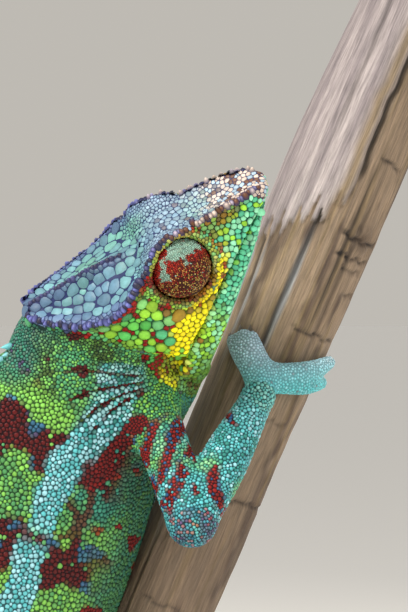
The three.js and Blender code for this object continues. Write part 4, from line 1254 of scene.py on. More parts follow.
def lid_colours(ray, side, luck):
    """The turret's markings, laid out as seen from the animal's right. The left eye's are mirrored."""
    seen = ray if side > 0 else ray - 2 * (ray @ HEAD_RIGHT)[:, None] * HEAD_RIGHT
    p = seen * EYE_RADIUS
    swirl, fine, grain = noise(p, 1.5, 31), noise(p, 0.7, 32), noise(p, 0.35, 34)
    a, b = seen[:, 0] + 0.16 * swirl, seen[:, 2] + 0.16 * noise(p, 1.6, 33)
    patch = (in_patches(a, b, GREY_PATCHES) - in_patches(a, b, RED_PATCHES)) * (seen[:, 1] < 0.1)
    patch = patch + 0.45 * fine + 0.25 * grain + 0.2 * swirl
    arcs = np.cos(42 * np.arccos(np.clip(-seen[:, 1], -1, 1)) + 2 * swirl)
    c = lay(lay(EYE_RED, RED, luck > 0.55), DARK_RED, luck < 0.25)
    grey = step_between(0.46, 0.56, patch)
    pale = lay(lay(EYE_GREY, CHEEK_TEAL, luck * 0.35), CREAM_YELLOW, (luck > 0.85) * 0.6)
    c = lay(c, pale, grey)
    c = lay(c, EYE_DARK, grey * step_between(0.5, 0.95, arcs + 0.5 * fine) * 0.55)
    streak = step_between(0.22, 0.4, patch) * (luck > 0.55)
    c = lay(c, EYE_GREY * 0.9, streak * 0.8)
    speck = step_between(-0.25, 0.35, 0.5 * a - 0.8 * b - 0.1 + 0.2 * fine)
    mixed = lay(lay(EYE_DARK, EYE_GOLD, luck > 0.68), EYE_RED, (luck > 0.3) & (luck < 0.5))
    return lay(c, mixed, speck * 0.85 * (1 - grey))


def lid_folds(polar):
    """The low ring folds round the opening."""
    return 0.07 * np.cos(polar * 26) * step_between(0.5, 0.9, polar)


def turret_skin(side, gaze, word, materials):
    """The skin of the lid, turned in at the opening."""
    outer = np.linspace(LID_OPENING, np.pi - 0.03, 60)
    polar = np.concatenate([[LID_OPENING * 0.8, LID_OPENING * 0.9], outer])
    depth = np.concatenate([[-1.3, -0.5], 0.25 * unit_bump(outer - LID_OPENING, 0.16) + lid_folds(outer)])
    turn = np.linspace(0, 2 * np.pi, LID_SIDES, endpoint=False)
    grid_polar, grid_turn = np.meshgrid(polar, turn, indexing="ij")
    points, _ = turret_surface(side, gaze, grid_polar, grid_turn, (LID_RADIUS + depth)[:, None, None])
    points, quads, fans = closed_mesh(points)
    lid = new_mesh(word + "_eye_turret_skin", points, quads, fans[LID_SIDES:])
    # The skin between the grains is painted at under half the markings' brightness: partly its own dark and
    # partly painted shade.
    paint(lid, lid_colours(unit(points - eye_centre(side)), side, np.full(len(points), 0.5)) * 0.45)
    return dressed(lid, materials["skin"])


def eyelid_scales(side, gaze, word, materials):
    """Grains in rings round the opening."""
    places, normals = [], []
    row_step = 0.36 / LID_RADIUS
    for k in range(int((np.pi - 0.5 - LID_OPENING) / row_step)):
        angle = LID_OPENING + 0.05 + k * row_step
        number = max(int(2 * np.pi * LID_RADIUS * np.sin(angle) / LID_GRAIN), 6)
        spin = np.arange(number) + random.uniform(0, 1) + 0.16 * random.standard_normal(number)
        spin = spin * 2 * np.pi / number
        angle = angle + 0.009 * random.standard_normal(number)
        p, n = turret_surface(side, gaze, angle, spin, (LID_RADIUS + lid_folds(angle))[:, None])
        places.append(p)
        normals.append(n)
    places, normals = np.concatenate(places), np.concatenate(normals)
    luck = random.random(len(places))
    grains = Scales(places, normals, np.full(len(places), 0.44))
    colours = lid_colours(normals, side, luck) * random.uniform(0.75, 1.2, len(places))[:, None]
    look = eye_look(side, gaze)
    x, y = tangents(look[None])
    spread = 0.48 * np.arccos(np.clip(normals @ look, -1, 1)) / np.pi
    around = np.arctan2(normals @ y[0], normals @ x[0])
    chart = 0.5 + spread[:, None] * np.column_stack([np.cos(around), np.sin(around)])
    # The grains' seams are painted a dark copy of their colours: partly their own dark and partly painted
    # shade.
    grain = grains.make(word + "_eyelid_scales", np.arange(len(places)), GRAIN_FORM,
                        np.full(len(places), 0.1), 0.01, 0.4, 6, colours, colours * 0.4, chart)
    return dressed(grain, materials["scale"])


def eyeball(side, gaze, word, materials):
    """The ball behind the opening, with its gold iris ring."""
    look = eye_look(side, gaze)
    polar = np.linspace(0.02, np.pi - 0.02, 40)
    turn = np.linspace(0, 2 * np.pi, 48, endpoint=False)
    ray = rays_about(look, *np.meshgrid(polar, turn, indexing="ij"))
    middle = eye_centre(side) + look * (EYE_RADIUS - PUPIL_DEPTH)
    points, quads, fans = closed_mesh(middle + ray * PUPIL_RADIUS)
    ball = new_mesh(word + "_eye", points, quads, fans)
    angle = np.append(np.arccos(np.clip(ray.reshape(-1, 3) @ look, -1, 1)), [0, np.pi])
    paint(ball, lay(PUPIL_BLACK, IRIS_GOLD, unit_bump(angle - IRIS_ANGLE, 0.1)))
    return dressed(ball, materials["eye"])


# ---- Spines and claws ----

THORN_SIDES = 9
THORN_SHARES = (0.0, 0.25, 0.5, 0.72, 0.9)       # of the length, where its rings lie


def thorns(name, bases, headings, radii, lengths, bends, colours):
    """Curved cones: bends is how far each tip leans over."""
    turn = np.arange(THORN_SIDES) * 2 * np.pi / THORN_SIDES
    x, y = tangents(headings)
    around = np.cos(turn)[None, :, None] * x[:, None] + np.sin(turn)[None, :, None] * y[:, None]
    rings = []
    for share in THORN_SHARES:
        middle = bases + headings * (lengths * share)[:, None] + bends * share ** 2
        width = radii * (1 - share ** 1.3)
        rings.append(middle[:, None] + width[:, None, None] * around)
    tips = bases + headings * lengths[:, None] + bends
    # Painted shade and highlight: each thorn is painted darker at its base and lighter towards its tip.
    shades = np.stack([lay(colours * 0.6, colours * 1.25, share) for share in THORN_SHARES], 1)
    return small_forms(name, np.stack(rings, 1), tips, shades, colours * 1.4)


def back_spines(tree):
    """The saw-toothed crest of the back, alternately long and short, from the neck onto the tail."""
    t = np.arange(1.3, BODY_END * 0.62, 0.01)
    middle, along, up, _, above, _, _ = body_section(t)
    crown = middle + up * above[:, None]
    reach = travelled(crown)
    size = np.clip(above / 18, 0.45, 1)
    spots, spot = [], SPINE_SPACING / 2
    while spot < reach[-1]:
        k = int(np.searchsorted(reach, spot))
        spots.append(k)
        spot += SPINE_SPACING * (0.42 if t[k] < TAIL_STARTS else 0.5)
    k = np.array(spots[:-1])
    base = np.array([tree.find_nearest(p)[0] for p in crown[k]])
    long = np.where(np.arange(len(k)) % 2 == 0, 1.0, 0.55) * size[k]
    colours = lay(AQUA, PALE_AQUA, random.random(len(k)))
    return thorns("back_spines", base - up[k] * 0.3, up[k], 0.95 * size[k] * (0.6 + 0.4 * long),
                  SPINE_LENGTH * long, along[k] * (0.5 * long)[:, None], colours)


def chin_spines(tree):
    along = np.arange(-3.0, -44.0, -1.6)
    chin = np.interp(-along, -JAW_ROWS[:, 0], JAW_ROWS[:, 5])
    base = np.array([tree.find_nearest(p)[0] for p in head_point(along, 0, chin)])
    down = np.repeat(-HEAD_UP[None], len(base), 0)
    long = np.where(np.arange(len(base)) % 2 == 0, 1.0, 0.6)
    colours = lay(LIP_TEAL, PALE_AQUA, random.random(len(base)))
    return thorns("chin_spines", base + HEAD_UP * 0.2, down, 0.5 * long, 1.4 * long,
                  HEAD_FORWARD[None] * -0.3 * long[:, None], colours)


CLAW_HORN = shade("5d5348")
CLAW_RADIUS = 0.85


def claws():
    bases, headings, bends = [], [], []
    for limb in LIMBS.values():
        for tip in limb["inner"] + limb["outer"]:
            end, beyond = digit_path(limb["sole"], tip, [1.0, 1.25])
            heading = unit(beyond - end)
            inward = unit(on_branch(tip[1], tip[0], 0.0) - end)
            bases.append(end + heading * (DIGIT_TIP_RADIUS - 1.1) - inward * 0.3)
            headings.append(heading)
            bends.append(inward * 0.9)
    n = len(bases)
    colours = np.repeat(CLAW_HORN[None], n, 0)
    return thorns("claws", np.array(bases), np.array(headings), np.full(n, CLAW_RADIUS),
                  np.full(n, CLAW_REACH - 1.0), np.array(bends), colours)


# ---- The branch ----

BRANCH_AROUND, BRANCH_ROWS = 168, 520
SAWN_RINGS = (0.93, 0.7, 0.45, 0.2)              # shares of the radius, on each end
SLAB_EDGE_TURN = 99.0                            # degrees: the split where the pale wood ends
SLAB_LOW = 270.0                                 # height of the slab's lower end
SECOND_SPLIT_TURN = 62.0
# Height, turns from and to in degrees, and depth.
CRACKS = ((290.5, 120, 152, 0.9), (272.0, 108, 165, 1.3), (267.5, 112, 160, 1.0), (264.8, 128, 158, 0.7),
          (259.0, 140, 165, 0.7), (248.0, 100, 172, 0.8), (206.2, 112, 170, 0.9), (226.0, 95, 140, 0.5),
          (310.0, 118, 160, 0.7), (178.0, 60, 120, 0.6), (150.0, 200, 260, 0.8), (232.0, 250, 320, 0.8),
          (96.0, 80, 140, 0.7), (60.0, 150, 220, 0.7), (300.0, 230, 300, 0.9))
KNOT = (272.0, 140.0, 6.5)                       # height, turn and width
PALE_WOOD, GREY_WOOD, BLUE_GREY_WOOD = shade("b0a4a2"), shade("7f7476"), shade("949ba3")
BROWN_WOOD, DEEP_WOOD, DARK_WOOD = shade("8f7a64"), shade("5e4c3e"), shade("2a2420")
OCHRE_WOOD, HEART_WOOD = shade("8a744f"), shade("b39a78")


def cross_cracks(h, d):
    """The short cracks across the grain, from 0 to their depth."""
    crack = np.zeros(len(h))
    for k, (at, start, end, depth) in enumerate(CRACKS):
        wander = 1.1 * line_noise(d / 9, 1, 48, row=k)
        along = unit_bump(h - at - wander, 0.42)
        along = along * step_between(start - 6, start + 4, d) * step_between(end + 6, end - 4, d)
        crack = np.maximum(crack, along * depth)
    return crack


def wood_relief(h, d):
    """For heights and degrees on the branch: the lift over its plain form, and masks of what causes it."""
    turn = np.radians(d)
    radius = branch_radius(h, turn)
    ring = np.column_stack([radius * np.cos(turn), radius * np.sin(turn)])
    long_grain = noise(np.column_stack([ring, h / 26]), 1.1, 41)
    broad_grain = noise(np.column_stack([ring, h / 16]), 3.2, 42)
    rough = noise(np.column_stack([ring, h / 2.5]), 1.6, 43)
    waver = 5 * line_noise(h, 14, 44) + 2 * line_noise(h, 4, 45)
    edge = (SLAB_EDGE_TURN + waver - d) * np.pi / 180 * radius      # mm inside the slab's edge
    low_end = SLAB_LOW + (d - 55) * 0.2 + 2.5 * line_noise(d / 6, 1, 46) + 3.5 * line_noise(d / 2.5, 1, 49)
    low_edge = h - low_end
    slab = step_between(-0.5, 0.5, np.minimum(edge, low_edge * 0.8)) * (d < 200)
    fissure = unit_bump(edge + 0.6, 0.6) * step_between(-2, 3, low_edge) * (d < 200)
    lift = 0.16 * long_grain + 0.42 * broad_grain + 0.16 * rough * (1 - 0.8 * slab)
    lift += 0.75 * slab - 1.25 * fissure
    second = (SECOND_SPLIT_TURN + 7 * line_noise(h, 30, 47) - d) * np.pi / 180 * radius
    groove = unit_bump(second, 0.5) * step_between(282, 300, h)
    lift -= 0.5 * groove
    crack = cross_cracks(h, d)
    long_crack = step_between(0.52, 0.7, noise(np.column_stack([ring, h / 60]), 1.7, 51)) * (1 - slab)
    lift -= 0.8 * crack + 0.55 * long_crack
    knot_height, knot_turn, knot_width = KNOT
    knot_away = np.hypot(h - knot_height, (d - knot_turn) * np.pi / 180 * radius)
    knot = unit_bump(knot_away, knot_width * 0.55)
    lift += 0.5 * knot * np.cos(knot_away * 2.4)
    dark = fissure * 0.95 + crack * 0.85 + 0.8 * long_crack + 0.6 * groove
    return lift, dict(ring=ring, long_grain=long_grain, broad_grain=broad_grain, rough=rough, edge=edge,
                      slab=slab, knot=knot, dark=dark)


def wood_colours(h, d, w):
    """Brown bark and the pale split face, from the relief's masks."""
    bark = lay(BROWN_WOOD, DEEP_WOOD, step_between(0.1, 0.8, w["broad_grain"] + 0.5 * w["rough"]))
    bark = lay(bark, OCHRE_WOOD, step_between(0.1, 0.7, w["long_grain"]) * 0.5)
    weathered = step_between(0.25, 0.7, noise(np.column_stack([w["ring"], h / 20]), 2.6, 52))
    bark = lay(bark, BLUE_GREY_WOOD, weathered * step_between(110, 80, d) * 0.75)
    # Painted shade: the bark is darkened below about 240 mm up the branch, under the animal's body.
    bark = lay(bark, DEEP_WOOD * 0.8, step_between(240, 180, h) * 0.45)
    slab = lay(PALE_WOOD, GREY_WOOD, step_between(-0.3, 0.7, w["long_grain"] + 0.5 * w["broad_grain"]) * 0.8)
    slab = lay(slab, OCHRE_WOOD, unit_bump(w["edge"] - 1.6, 1.3) * 0.8)
    tone = lay(bark, slab, w["slab"]) * np.interp(h, [290, 340], [1.0, 0.78])[:, None]
    # The cracks, fissures and grooves are painted near black: partly the wood's own dark and partly painted
    # shade in the recesses.
    tone = lay(tone, DARK_WOOD, np.clip(w["dark"], 0, 1))
    return lay(tone, DEEP_WOOD * 0.7, w["knot"] * 0.7)


def branch_mesh(materials):
    height = np.linspace(0, BRANCH_LENGTH, BRANCH_ROWS)[:, None]
    degrees = (np.arange(BRANCH_AROUND) * 360 / BRANCH_AROUND)[None, :]
    h, d = (grid.ravel() for grid in np.broadcast_arrays(height, degrees))
    lift, masks = wood_relief(h, d)
    points = on_branch(h, d, lift).reshape(BRANCH_ROWS, BRANCH_AROUND, 3)
    top_middle = BRANCH_FOOT + BRANCH_ALONG * BRANCH_LENGTH
    rings = [points]
    for share in SAWN_RINGS:
        top = top_middle + (points[-1] - top_middle) * share + BRANCH_ALONG * (0.12 * np.cos(share * 40))
        bottom = BRANCH_FOOT + (points[0] - BRANCH_FOOT) * share
        rings.append(top[None])
        rings.insert(0, bottom[None])
    all_rings = np.concatenate(rings)
    all_points, quads, fans = closed_mesh(all_rings)
    piece = new_mesh("branch_wood", all_points, quads, fans)
    ends = len(SAWN_RINGS) * BRANCH_AROUND
    face = np.repeat(HEART_WOOD[None], ends, 0) * (0.85 + 0.15 * np.sin(np.arange(ends) / 7))[:, None]
    paint(piece, np.concatenate([face, wood_colours(h, d, masks), face, HEART_WOOD[None], HEART_WOOD[None]]))
    across = all_rings[0] - BRANCH_FOOT
    flat_end = np.column_stack([across @ BRANCH_LEFT, across @ BRANCH_FRONT, np.zeros(BRANCH_AROUND)])
    end_flow = np.concatenate([flat_end * share for share in (1, *SAWN_RINGS[1:])])
    side_flow = np.column_stack([masks["ring"], h / 18])
    flow = np.concatenate([end_flow, side_flow, end_flow, np.zeros((2, 3))]).astype(np.float32)
    layer = piece.data.attributes.new("grain_place", "FLOAT_VECTOR", "POINT")
    layer.data.foreach_set("vector", flow.ravel())
    return dressed(piece, materials["wood"])


# ---- Display stand ----

BASE_WIDTH, BASE_DEPTH, BASE_THICKNESS, BASE_CORNER, BASE_EDGE = 190.0, 150.0, 12.0, 16.0, 1.5
BASE_INNER_RING = 8.0                            # how far in the flat faces' last ring lies
ROD_RADIUS, ROD_X, ROD_SOCKET, ROD_TOP, ROD_EDGE, ROD_SIDES = 4.0, -35.5, 8.0, 55.0, 0.4, 64


def rounded_outline(inset):
    """A rectangle with round corners, drawn in by inset."""
    turn = np.linspace(0, np.pi / 2, 17)
    quarter = (BASE_CORNER - inset) * np.column_stack([np.cos(turn), np.sin(turn)])
    reach = np.array([BASE_WIDTH / 2 - BASE_CORNER, BASE_DEPTH / 2 - BASE_CORNER])
    corners = []
    for k, signs in enumerate(((1, 1), (-1, 1), (-1, -1), (1, -1))):
        arc = quarter * signs if k % 2 == 0 else (quarter * signs)[::-1]
        corners.append(arc + reach * signs)
    return np.concatenate(corners)


def stand_base(materials):
    bevel = np.linspace(0, np.pi / 2, 7)
    levels = [(BASE_INNER_RING, 0.0)]
    levels += [(BASE_EDGE * (1 - np.sin(a)), BASE_EDGE * (1 - np.cos(a))) for a in bevel]
    levels += [(BASE_EDGE * (1 - np.cos(a)), BASE_THICKNESS - BASE_EDGE * (1 - np.sin(a))) for a in bevel]
    levels += [(BASE_EDGE + 0.2, BASE_THICKNESS), (BASE_INNER_RING, BASE_THICKNESS)]
    rings = []
    for inset, z in levels:
        flat = rounded_outline(inset)
        rings.append(np.column_stack([flat, np.full(len(flat), z)]))
    points, quads, fans = closed_mesh(np.array(rings))
    return dressed(new_mesh("stand_base_board", points, quads, fans), materials["stand"])


def stand_rod(materials):
    foot = BASE_THICKNESS - ROD_SOCKET
    profile = [(ROD_RADIUS - ROD_EDGE, foot), (ROD_RADIUS, foot + ROD_EDGE),
               (ROD_RADIUS, BASE_THICKNESS + ROD_SOCKET), (ROD_RADIUS, ROD_TOP - ROD_EDGE),
               (ROD_RADIUS - ROD_EDGE, ROD_TOP)]
    turn = np.linspace(0, 2 * np.pi, ROD_SIDES, endpoint=False)
    rings = [np.column_stack([ROD_X + r * np.cos(turn), BRANCH_FOOT[1] + r * np.sin(turn),
                              np.full(ROD_SIDES, z)]) for r, z in profile]
    points, quads, fans = closed_mesh(np.array(rings))
    return dressed(new_mesh("stand_steel_rod", points, quads, fans), materials["steel"])


# ---- Materials ----

def node_group(name, inputs, outputs):
    tree = bpy.data.node_groups.new(name, "ShaderNodeTree")
    for socket, kind in inputs:
        tree.interface.new_socket(socket, in_out="INPUT", socket_type=kind)
    for socket, kind in outputs:
        tree.interface.new_socket(socket, in_out="OUTPUT", socket_type=kind)
    return tree, tree.nodes.new("NodeGroupInput"), tree.nodes.new("NodeGroupOutput")


def map_range(tree, value, low, high, to_low, to_high):
    node = tree.nodes.new("ShaderNodeMapRange")
    for socket, number in zip(("From Min", "From Max", "To Min", "To Max"), (low, high, to_low, to_high)):
        node.inputs[socket].default_value = number
    tree.links.new(value, node.inputs["Value"])
    return node.outputs["Result"]


def noise_node(tree, place, scale, detail=3.0, roughness=0.55):
    node = tree.nodes.new("ShaderNodeTexNoise")
    node.inputs["Scale"].default_value = scale
    node.inputs["Detail"].default_value = detail
    node.inputs["Roughness"].default_value = roughness
    tree.links.new(place, node.inputs["Vector"])
    return node.outputs["Fac"]


def scaled_colour(tree, colour, amount):
    node = tree.nodes.new("ShaderNodeVectorMath")
    node.operation = "SCALE"
    tree.links.new(colour, node.inputs[0])
    tree.links.new(amount, node.inputs["Scale"])
    return node.outputs["Vector"]


SURFACE_OUTPUTS = [("Colour", "NodeSocketColor"), ("Roughness", "NodeSocketFloat"),
                   ("Height", "NodeSocketFloat")]


def horny_surface():
    """Fine unevenness of scales: colour, roughness and height that vary over the skin."""
    tree, given, made = node_group("horny_surface", [("Colour", "NodeSocketColor")], SURFACE_OUTPUTS)
    place = tree.nodes.new("ShaderNodeTexCoord").outputs["Object"]
    mottle = noise_node(tree, place, 900.0)
    grain = noise_node(tree, place, 4200.0, 2.0)
    tone = map_range(tree, mottle, 0.3, 0.7, 0.86, 1.14)
    tree.links.new(scaled_colour(tree, given.outputs["Colour"], tone), made.inputs["Colour"])
    tree.links.new(map_range(tree, mottle, 0.3, 0.7, 0.36, 0.52), made.inputs["Roughness"])
    tree.links.new(grain, made.inputs["Height"])
    return tree


def weathered_grain():
    """Long grain of bare wood from a place along and round the branch."""
    inputs = [("Place", "NodeSocketVector"), ("Colour", "NodeSocketColor")]
    tree, given, made = node_group("weathered_grain", inputs, SURFACE_OUTPUTS)
    fibre = noise_node(tree, given.outputs["Place"], 2.6, 4.0, 0.65)
    streak = noise_node(tree, given.outputs["Place"], 0.8, 3.0)
    colour = scaled_colour(tree, given.outputs["Colour"], map_range(tree, fibre, 0.3, 0.7, 0.6, 1.28))
    colour = scaled_colour(tree, colour, map_range(tree, streak, 0.3, 0.7, 0.88, 1.1))
    tree.links.new(colour, made.inputs["Colour"])
    tree.links.new(map_range(tree, streak, 0.3, 0.7, 0.68, 0.9), made.inputs["Roughness"])
    tree.links.new(fibre, made.inputs["Height"])
    return tree


def base_material(name):
    material = bpy.data.materials.new(name)
    material.use_nodes = True
    return material, material.node_tree, material.node_tree.nodes["Principled BSDF"]


def painted_on(tree, name, output):
    """What is painted on the mesh under a name."""
    node = tree.nodes.new("ShaderNodeAttribute")
    node.attribute_name = name
    return node.outputs[output]


def add_bump(tree, shader, height, strength, distance):
    bump = tree.nodes.new("ShaderNodeBump")
    bump.inputs["Strength"].default_value = strength
    bump.inputs["Distance"].default_value = distance
    tree.links.new(height, bump.inputs["Height"])
    tree.links.new(bump.outputs["Normal"], shader.inputs["Normal"])


def set_values(shader, values):
    for socket, value in values.items():
        shader.inputs[socket.replace("_", " ")].default_value = value


def painted_material(name, group, strength, distance, place=None, **values):
    """A material whose colours are painted on the mesh, with a shared surface effect."""
    material, tree, shader = base_material(name)
    effect = tree.nodes.new("ShaderNodeGroup")
    effect.node_tree = group
    tree.links.new(painted_on(tree, "colour", "Color"), effect.inputs["Colour"])
    if place:
        tree.links.new(painted_on(tree, place, "Vector"), effect.inputs["Place"])
    tree.links.new(effect.outputs["Colour"], shader.inputs["Base Color"])
    tree.links.new(effect.outputs["Roughness"], shader.inputs["Roughness"])
    add_bump(tree, shader, effect.outputs["Height"], strength, distance)
    set_values(shader, values)
    return material


def plain_material(name, colour, low, high, scale, **values):
    """One colour, with a roughness that varies over the surface."""
    material, tree, shader = base_material(name)
    place = tree.nodes.new("ShaderNodeTexCoord").outputs["Object"]
    wear = noise_node(tree, place, scale)
    tree.links.new(map_range(tree, wear, 0.3, 0.7, low, high), shader.inputs["Roughness"])
    shader.inputs["Base Color"].default_value = (*colour, 1)
    add_bump(tree, shader, wear, 0.08, 0.0003)
    set_values(shader, values)
    return material


def eye_material():
    material, tree, shader = base_material("wet_eye")
    tree.links.new(painted_on(tree, "colour", "Color"), shader.inputs["Base Color"])
    set_values(shader, {"Roughness": 0.06, "Coat Weight": 1.0})
    return material


BLACK_PAINT, STEEL = shade("1c1c1e"), shade("b9bcc0")
FLOOR_COLOUR, STUDIO_LIGHT, WORLD_STRENGTH = shade("efede9"), shade("ebe8e3"), 0.72


def make_materials():
    horny = horny_surface()
    return dict(
        skin=painted_material("skin_between_scales", horny, 0.3, 0.0001, Specular_IOR_Level=0.15),
        scale=painted_material("scales", horny, 0.25, 0.00006, Specular_IOR_Level=0.25),
        claw=painted_material("claw_horn", horny, 0.2, 0.00005),
        eye=eye_material(),
        wood=painted_material("weathered_wood", weathered_grain(), 0.6, 0.0005, place="grain_place"),
        stand=plain_material("black_paint", BLACK_PAINT, 0.3, 0.45, 160.0),
        steel=plain_material("brushed_steel", STEEL, 0.22, 0.38, 700.0, Metallic=1.0),
    )


# ---- Putting the animal together ----

ALL_FLESH = ["head", "lower_jaw", "neck", "trunk", "right_eye_turret", "left_eye_turret"]
ALL_FLESH += [f"tail_{k}" for k in range(1, 6)]
LIMB_NODES = {"arm": ("upper_arm", "forearm", "hand_inner", "hand_outer"),
              "leg": ("thigh", "shank", "foot_inner", "foot_outer")}
for limb_name in LIMBS:
    half, kind = limb_name.split("_")
    ALL_FLESH += [f"{half}_{node}" for node in LIMB_NODES[kind]]

SKIN_LUCK = 0.5
SMALL_SCALE = 1.45                               # the widest that lies between the cheek's plates
NECK_END, FLANK_END = 52, 85                     # of the groups of scales, along the body

# The rings of a scale from its edge in: shares of its outline, its height and its colour over the seam's; the
# colour share paints shade, darker towards the edge.
# A height less than 0 is in millimetres, into the skin.
TILE_FORM = ((1.0, -0.15, 0.0), (0.96, 0.6, 0.85), (0.88, 0.95, 1.0))
KNOB_FORM = ((1.3, -0.4, 0.0), (0.9, 0.3, 0.5), (0.38, 0.78, 1.0))
PLATE_FORM = ((1.0, -0.25, 0.0), (0.93, 0.5, 0.7), (0.7, 0.9, 1.0))
BEAD_FORM = ((1.0, -0.2, 0.0), (0.86, 0.5, 0.75), (0.5, 0.88, 1.0))
SMALL_BEAD_FORM = ((1.0, -0.25, 0.0), (0.72, 0.62, 0.85))


def head_chart(s):
    around = np.arctan2(s.out, s.up - 6)
    return np.column_stack([0.5 - s.along / 62 - 0.42, 0.5 + 0.48 * around / np.pi])


def body_chart(s):
    around = np.arctan2(s.side, s.rise)
    low, high = s.arc.min(), s.arc.max()
    return np.column_stack([0.01 + 0.98 * (s.arc - low) / (high - low), 0.5 + 0.48 * around / np.pi])


def limb_chart(s):
    u, v = np.zeros(len(s.points)), np.zeros(len(s.points))
    for k, limb in enumerate(LIMBS.values()):
        root, bend, ankle = limb_points(limb)
        sole = on_branch(limb["sole"][1], limb["sole"][0], 0.0)
        for part, (a, b) in enumerate(((root, bend), (bend, ankle), (ankle, sole))):
            on = (s.limb == k) & (s.limb_part == part)
            along = unit(b - a)
            x, y = tangents(along[None])
            d = s.points[on] - a
            share = np.clip(d @ along / np.linalg.norm(b - a), -0.4, 1.6)
            u[on] = (part + 0.2 + 0.6 * (share + 0.4) / 2) / 3
            v[on] = (k + 0.5 + 0.47 * np.arctan2(d @ y[0], d @ x[0]) / np.pi) / 4
    return np.column_stack([u, v])


def make_skin(form, materials):
    """The skin, with its points, faces and normals."""
    points, quads = form.surface()
    points = carve(points, point_normals(points, quads), form)
    normals = point_normals(points, quads)
    skin = new_mesh("skin", points, quads)
    s = Survey(points, normals, form)
    z = head_zones(s)
    tone = flesh_colours(s, z, np.full(len(points), SKIN_LUCK), np.zeros(len(points), bool))
    # The skin between the scales is painted a dark copy of the flesh's colour: partly its own dark and partly
    # painted shade in the gaps.
    under = lay(tone * 0.25, SEAM * 0.6, 0.4)
    under = lay(under, tone * 0.55, s.limb_part == 2)
    paint(skin, lay(under, INDIGO, z["casque"] * 0.8))
    return dressed(skin, materials["skin"]), points, quads, normals


def knob_colours(s, luck, dark):
    rostral = step_between(-22, -14, s.along)
    tone = lay(CREST_VIOLET, CREST_DARK, step_between(0.5, 0.35, luck))
    tone = lay(tone, CREAM, rostral * step_between(0.35, 0.75, luck))
    near_eye = rostral * (s.out > 0)
    tone = lay(tone, RUST, near_eye * step_between(0.4, 0.25, luck))
    return lay(tone, lay(CREST_DARK, VIOLET, luck * 0.4), dark)


def scale_colours(s, z, sizes, knob, dark, luck):
    """The colours of the scales and of the seams round them. The seams are darker copies of the scales'
    colours: partly the skin's own dark and partly painted shade.
    """
    colours = flesh_colours(s, z, luck, sizes < SMALL_SCALE)
    colours = lay(colours, knob_colours(s, luck, dark), knob)
    colours = colours * (0.78 + 0.4 * random.random(len(luck)))[:, None]
    # Seams: partly the skin's own dark, partly painted shade between the scales.
    seam = lay(colours * 0.25, SEAM * 0.5, 0.5)
    seam = lay(seam, colours * 0.45, s.limb_part == 2)
    return colours, lay(seam, INDIGO * 0.8, z["casque"] * 0.9)


def scale_groups(s, z, sizes, knob, luck):
    """Each piece of the coat: its scales, their form, height, gap, roundness and corners, and its unwrap."""
    head = z["on_head"] & ~z["casque"] & ~knob
    groups = {
        "casque_plates": (z["casque"] & ~knob, TILE_FORM, 0.055 + 0.022 * sizes, 0.06, 0.0, 14, head_chart),
        "crest_knobs": (knob, KNOB_FORM, (0.3 + 0.55 * luck) * sizes, 0.0, 0.3, 8, head_chart),
        "head_scales": (head, PLATE_FORM, 0.12 * sizes + 0.09, 0.03, 0.1, 10, head_chart),
    }
    body = (s.label == BODY) & ~knob
    regions = {"neck": s.arc < NECK_END, "flank": (s.arc >= NECK_END) & (s.arc < FLANK_END),
               "hip": (s.arc >= FLANK_END) & (s.arc < TAIL_ARC)}
    for word, half in (("right", s.side > 0), ("left", s.side <= 0)):
        for region, on in regions.items():
            groups[f"{word}_{region}_scales"] = (body & half & on, BEAD_FORM, 0.26 * sizes,
                                                 0.015, 0.25, 7, body_chart)
    tail = body & (s.arc >= TAIL_ARC)
    groups["tail_scales"] = (tail, SMALL_BEAD_FORM, 0.27 * sizes, 0.03, 0.45, 7, body_chart)
    arm = (s.limb == 0) & (s.limb_part < 2) & ~knob
    legs = (s.limb > 0) & (s.limb_part < 2) & ~knob
    feet = (s.limb >= 0) & (s.limb_part == 2) & ~knob
    groups["right_arm_scales"] = (arm, BEAD_FORM, 0.27 * sizes, 0.03, 0.4, 7, limb_chart)
    groups["leg_scales"] = (legs, SMALL_BEAD_FORM, 0.27 * sizes, 0.03, 0.45, 7, limb_chart)
    groups["foot_scales"] = (feet, SMALL_BEAD_FORM, 0.2 * sizes, 0.02, 0.45, 6, limb_chart)
    return groups


def build_animal(materials):
    """The skin, then the coat's pieces, the spines and the claws."""
    form = flesh_form()
    skin, points, quads, normals = make_skin(form, materials)
    tree = BVHTree.FromPolygons(points.tolist(), quads.tolist())
    knob_places, knob_sizes, knob_dark = crest_roots(tree)
    places, sizes = choose_roots(points, normals, quads, form, knob_places, knob_sizes)
    places = np.concatenate([knob_places, places])
    sizes = np.concatenate([knob_sizes, sizes])
    places, faces = settle(places, sizes, tree, len(knob_places))
    normal = unit(normals[quads[faces]].mean(1))
    s = Survey(places, normal, form)
    z = head_zones(s)
    luck = random.random(len(places))
    knob = np.arange(len(places)) < len(knob_places)
    dark = np.zeros(len(places))
    dark[knob] = knob_dark
    colours, seam = scale_colours(s, z, sizes, knob, dark, luck)
    scales = Scales(places, normal, sizes)
    pieces = [skin]
    for name, group in scale_groups(s, z, sizes, knob, luck).items():
        mask, profile, height, gap, roundness, corners, chart = group
        which = np.flatnonzero(mask)
        piece = scales.make(name, which, profile, height[which], gap, roundness, corners,
                            colours[which], seam[which], chart(s.only(which)))
        pieces.append(dressed(piece, materials["scale"]))
    pieces += [dressed(spines, materials["scale"]) for spines in (back_spines(tree), chin_spines(tree))]
    pieces.append(dressed(claws(), materials["claw"]))
    return pieces


# ---- Studio ----

def area_light(name, place, target, size, power, colour):
    data = bpy.data.lights.new(name, "AREA")
    data.shape = "DISK"
    data.size = size
    data.energy = power
    data.color = colour
    light = bpy.data.objects.new(name, data)
    light.location = Vector(place)
    light.rotation_euler = (Vector(target) - Vector(place)).to_track_quat("-Z", "Y").to_euler()
    bpy.context.scene.collection.objects.link(light)


FLOOR_REACH = 30000.0
LIGHTS_AIM = (0.02, -0.01, 0.24)


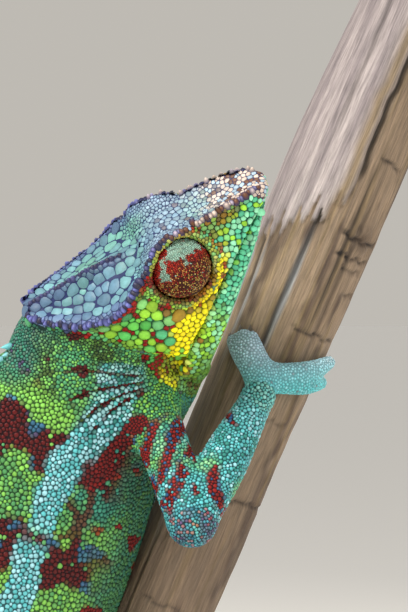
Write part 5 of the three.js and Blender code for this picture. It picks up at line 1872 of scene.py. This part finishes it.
def studio():
    corners = np.array([[-1, -1, 0], [1, -1, 0], [1, 1, 0], [-1, 1, 0]]) * FLOOR_REACH
    floor = new_mesh("floor", corners, np.array([[0, 1, 2, 3]]))
    floor.data.materials.append(plain_material("pale_floor", FLOOR_COLOUR, 0.85, 0.9, 3.0))
    world = bpy.data.worlds.new("soft_studio")
    world.use_nodes = True
    nodes, links = world.node_tree.nodes, world.node_tree.links
    soft, seen = nodes["Background"], nodes.new("ShaderNodeBackground")
    soft.inputs["Color"].default_value = (*STUDIO_LIGHT, 1)
    soft.inputs["Strength"].default_value = WORLD_STRENGTH
    seen.inputs["Color"].default_value = (*(STUDIO_LIGHT * FLOOR_COLOUR), 1)
    seen.inputs["Strength"].default_value = WORLD_STRENGTH
    which = nodes.new("ShaderNodeMixShader")
    links.new(nodes.new("ShaderNodeLightPath").outputs["Is Camera Ray"], which.inputs["Fac"])
    links.new(soft.outputs["Background"], which.inputs[1])
    links.new(seen.outputs["Background"], which.inputs[2])
    links.new(which.outputs["Shader"], nodes["World Output"].inputs["Surface"])
    bpy.context.scene.world = world
    bpy.context.scene.view_settings.view_transform = "Standard"
    area_light("key_light", (-0.5, -0.6, 1.2), LIGHTS_AIM, 0.5, 19, (1.0, 0.97, 0.92))
    area_light("fill_light", (0.9, -0.9, 0.5), LIGHTS_AIM, 0.9, 3.5, (0.93, 0.96, 1.0))
    area_light("rim_light", (0.7, 0.8, 0.8), LIGHTS_AIM, 0.6, 9, (1.0, 0.95, 0.85))


CAMERA_PLACE = (0.040, -0.508, 0.270)
CAMERA_LENS = 132.4
SENSOR_WIDTH = 36


def camera():
    data = bpy.data.cameras.new("camera")
    data.lens = CAMERA_LENS
    data.sensor_width = SENSOR_WIDTH
    data.clip_start = 0.01
    view = bpy.data.objects.new("camera", data)
    view.location = CAMERA_PLACE
    view.rotation_euler = (np.pi / 2, 0, 0)
    bpy.context.scene.collection.objects.link(view)
    bpy.context.scene.camera = view


materials = make_materials()
animal = build_animal(materials)
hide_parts(*ALL_FLESH)
for piece in animal:
    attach(piece, "root")
for side, gaze, word in ((1, RIGHT_GAZE, "right"), (-1, LEFT_GAZE, "left")):
    lid = turret_skin(side, gaze, word, materials)
    grain = eyelid_scales(side, gaze, word, materials)
    ball = eyeball(side, gaze, word, materials)
    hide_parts(word + "_eyeball")
    for piece, slot in ((lid, "skin"), (grain, "skin"), (ball, "eye")):
        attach(piece, "root")
for piece, node, slot in ((branch_mesh(materials), "branch", "wood"),
                          (stand_base(materials), "stand_base", "stand"),
                          (stand_rod(materials), "stand_rod", "steel")):
    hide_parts(node)
    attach(piece, "root")
studio()
camera()
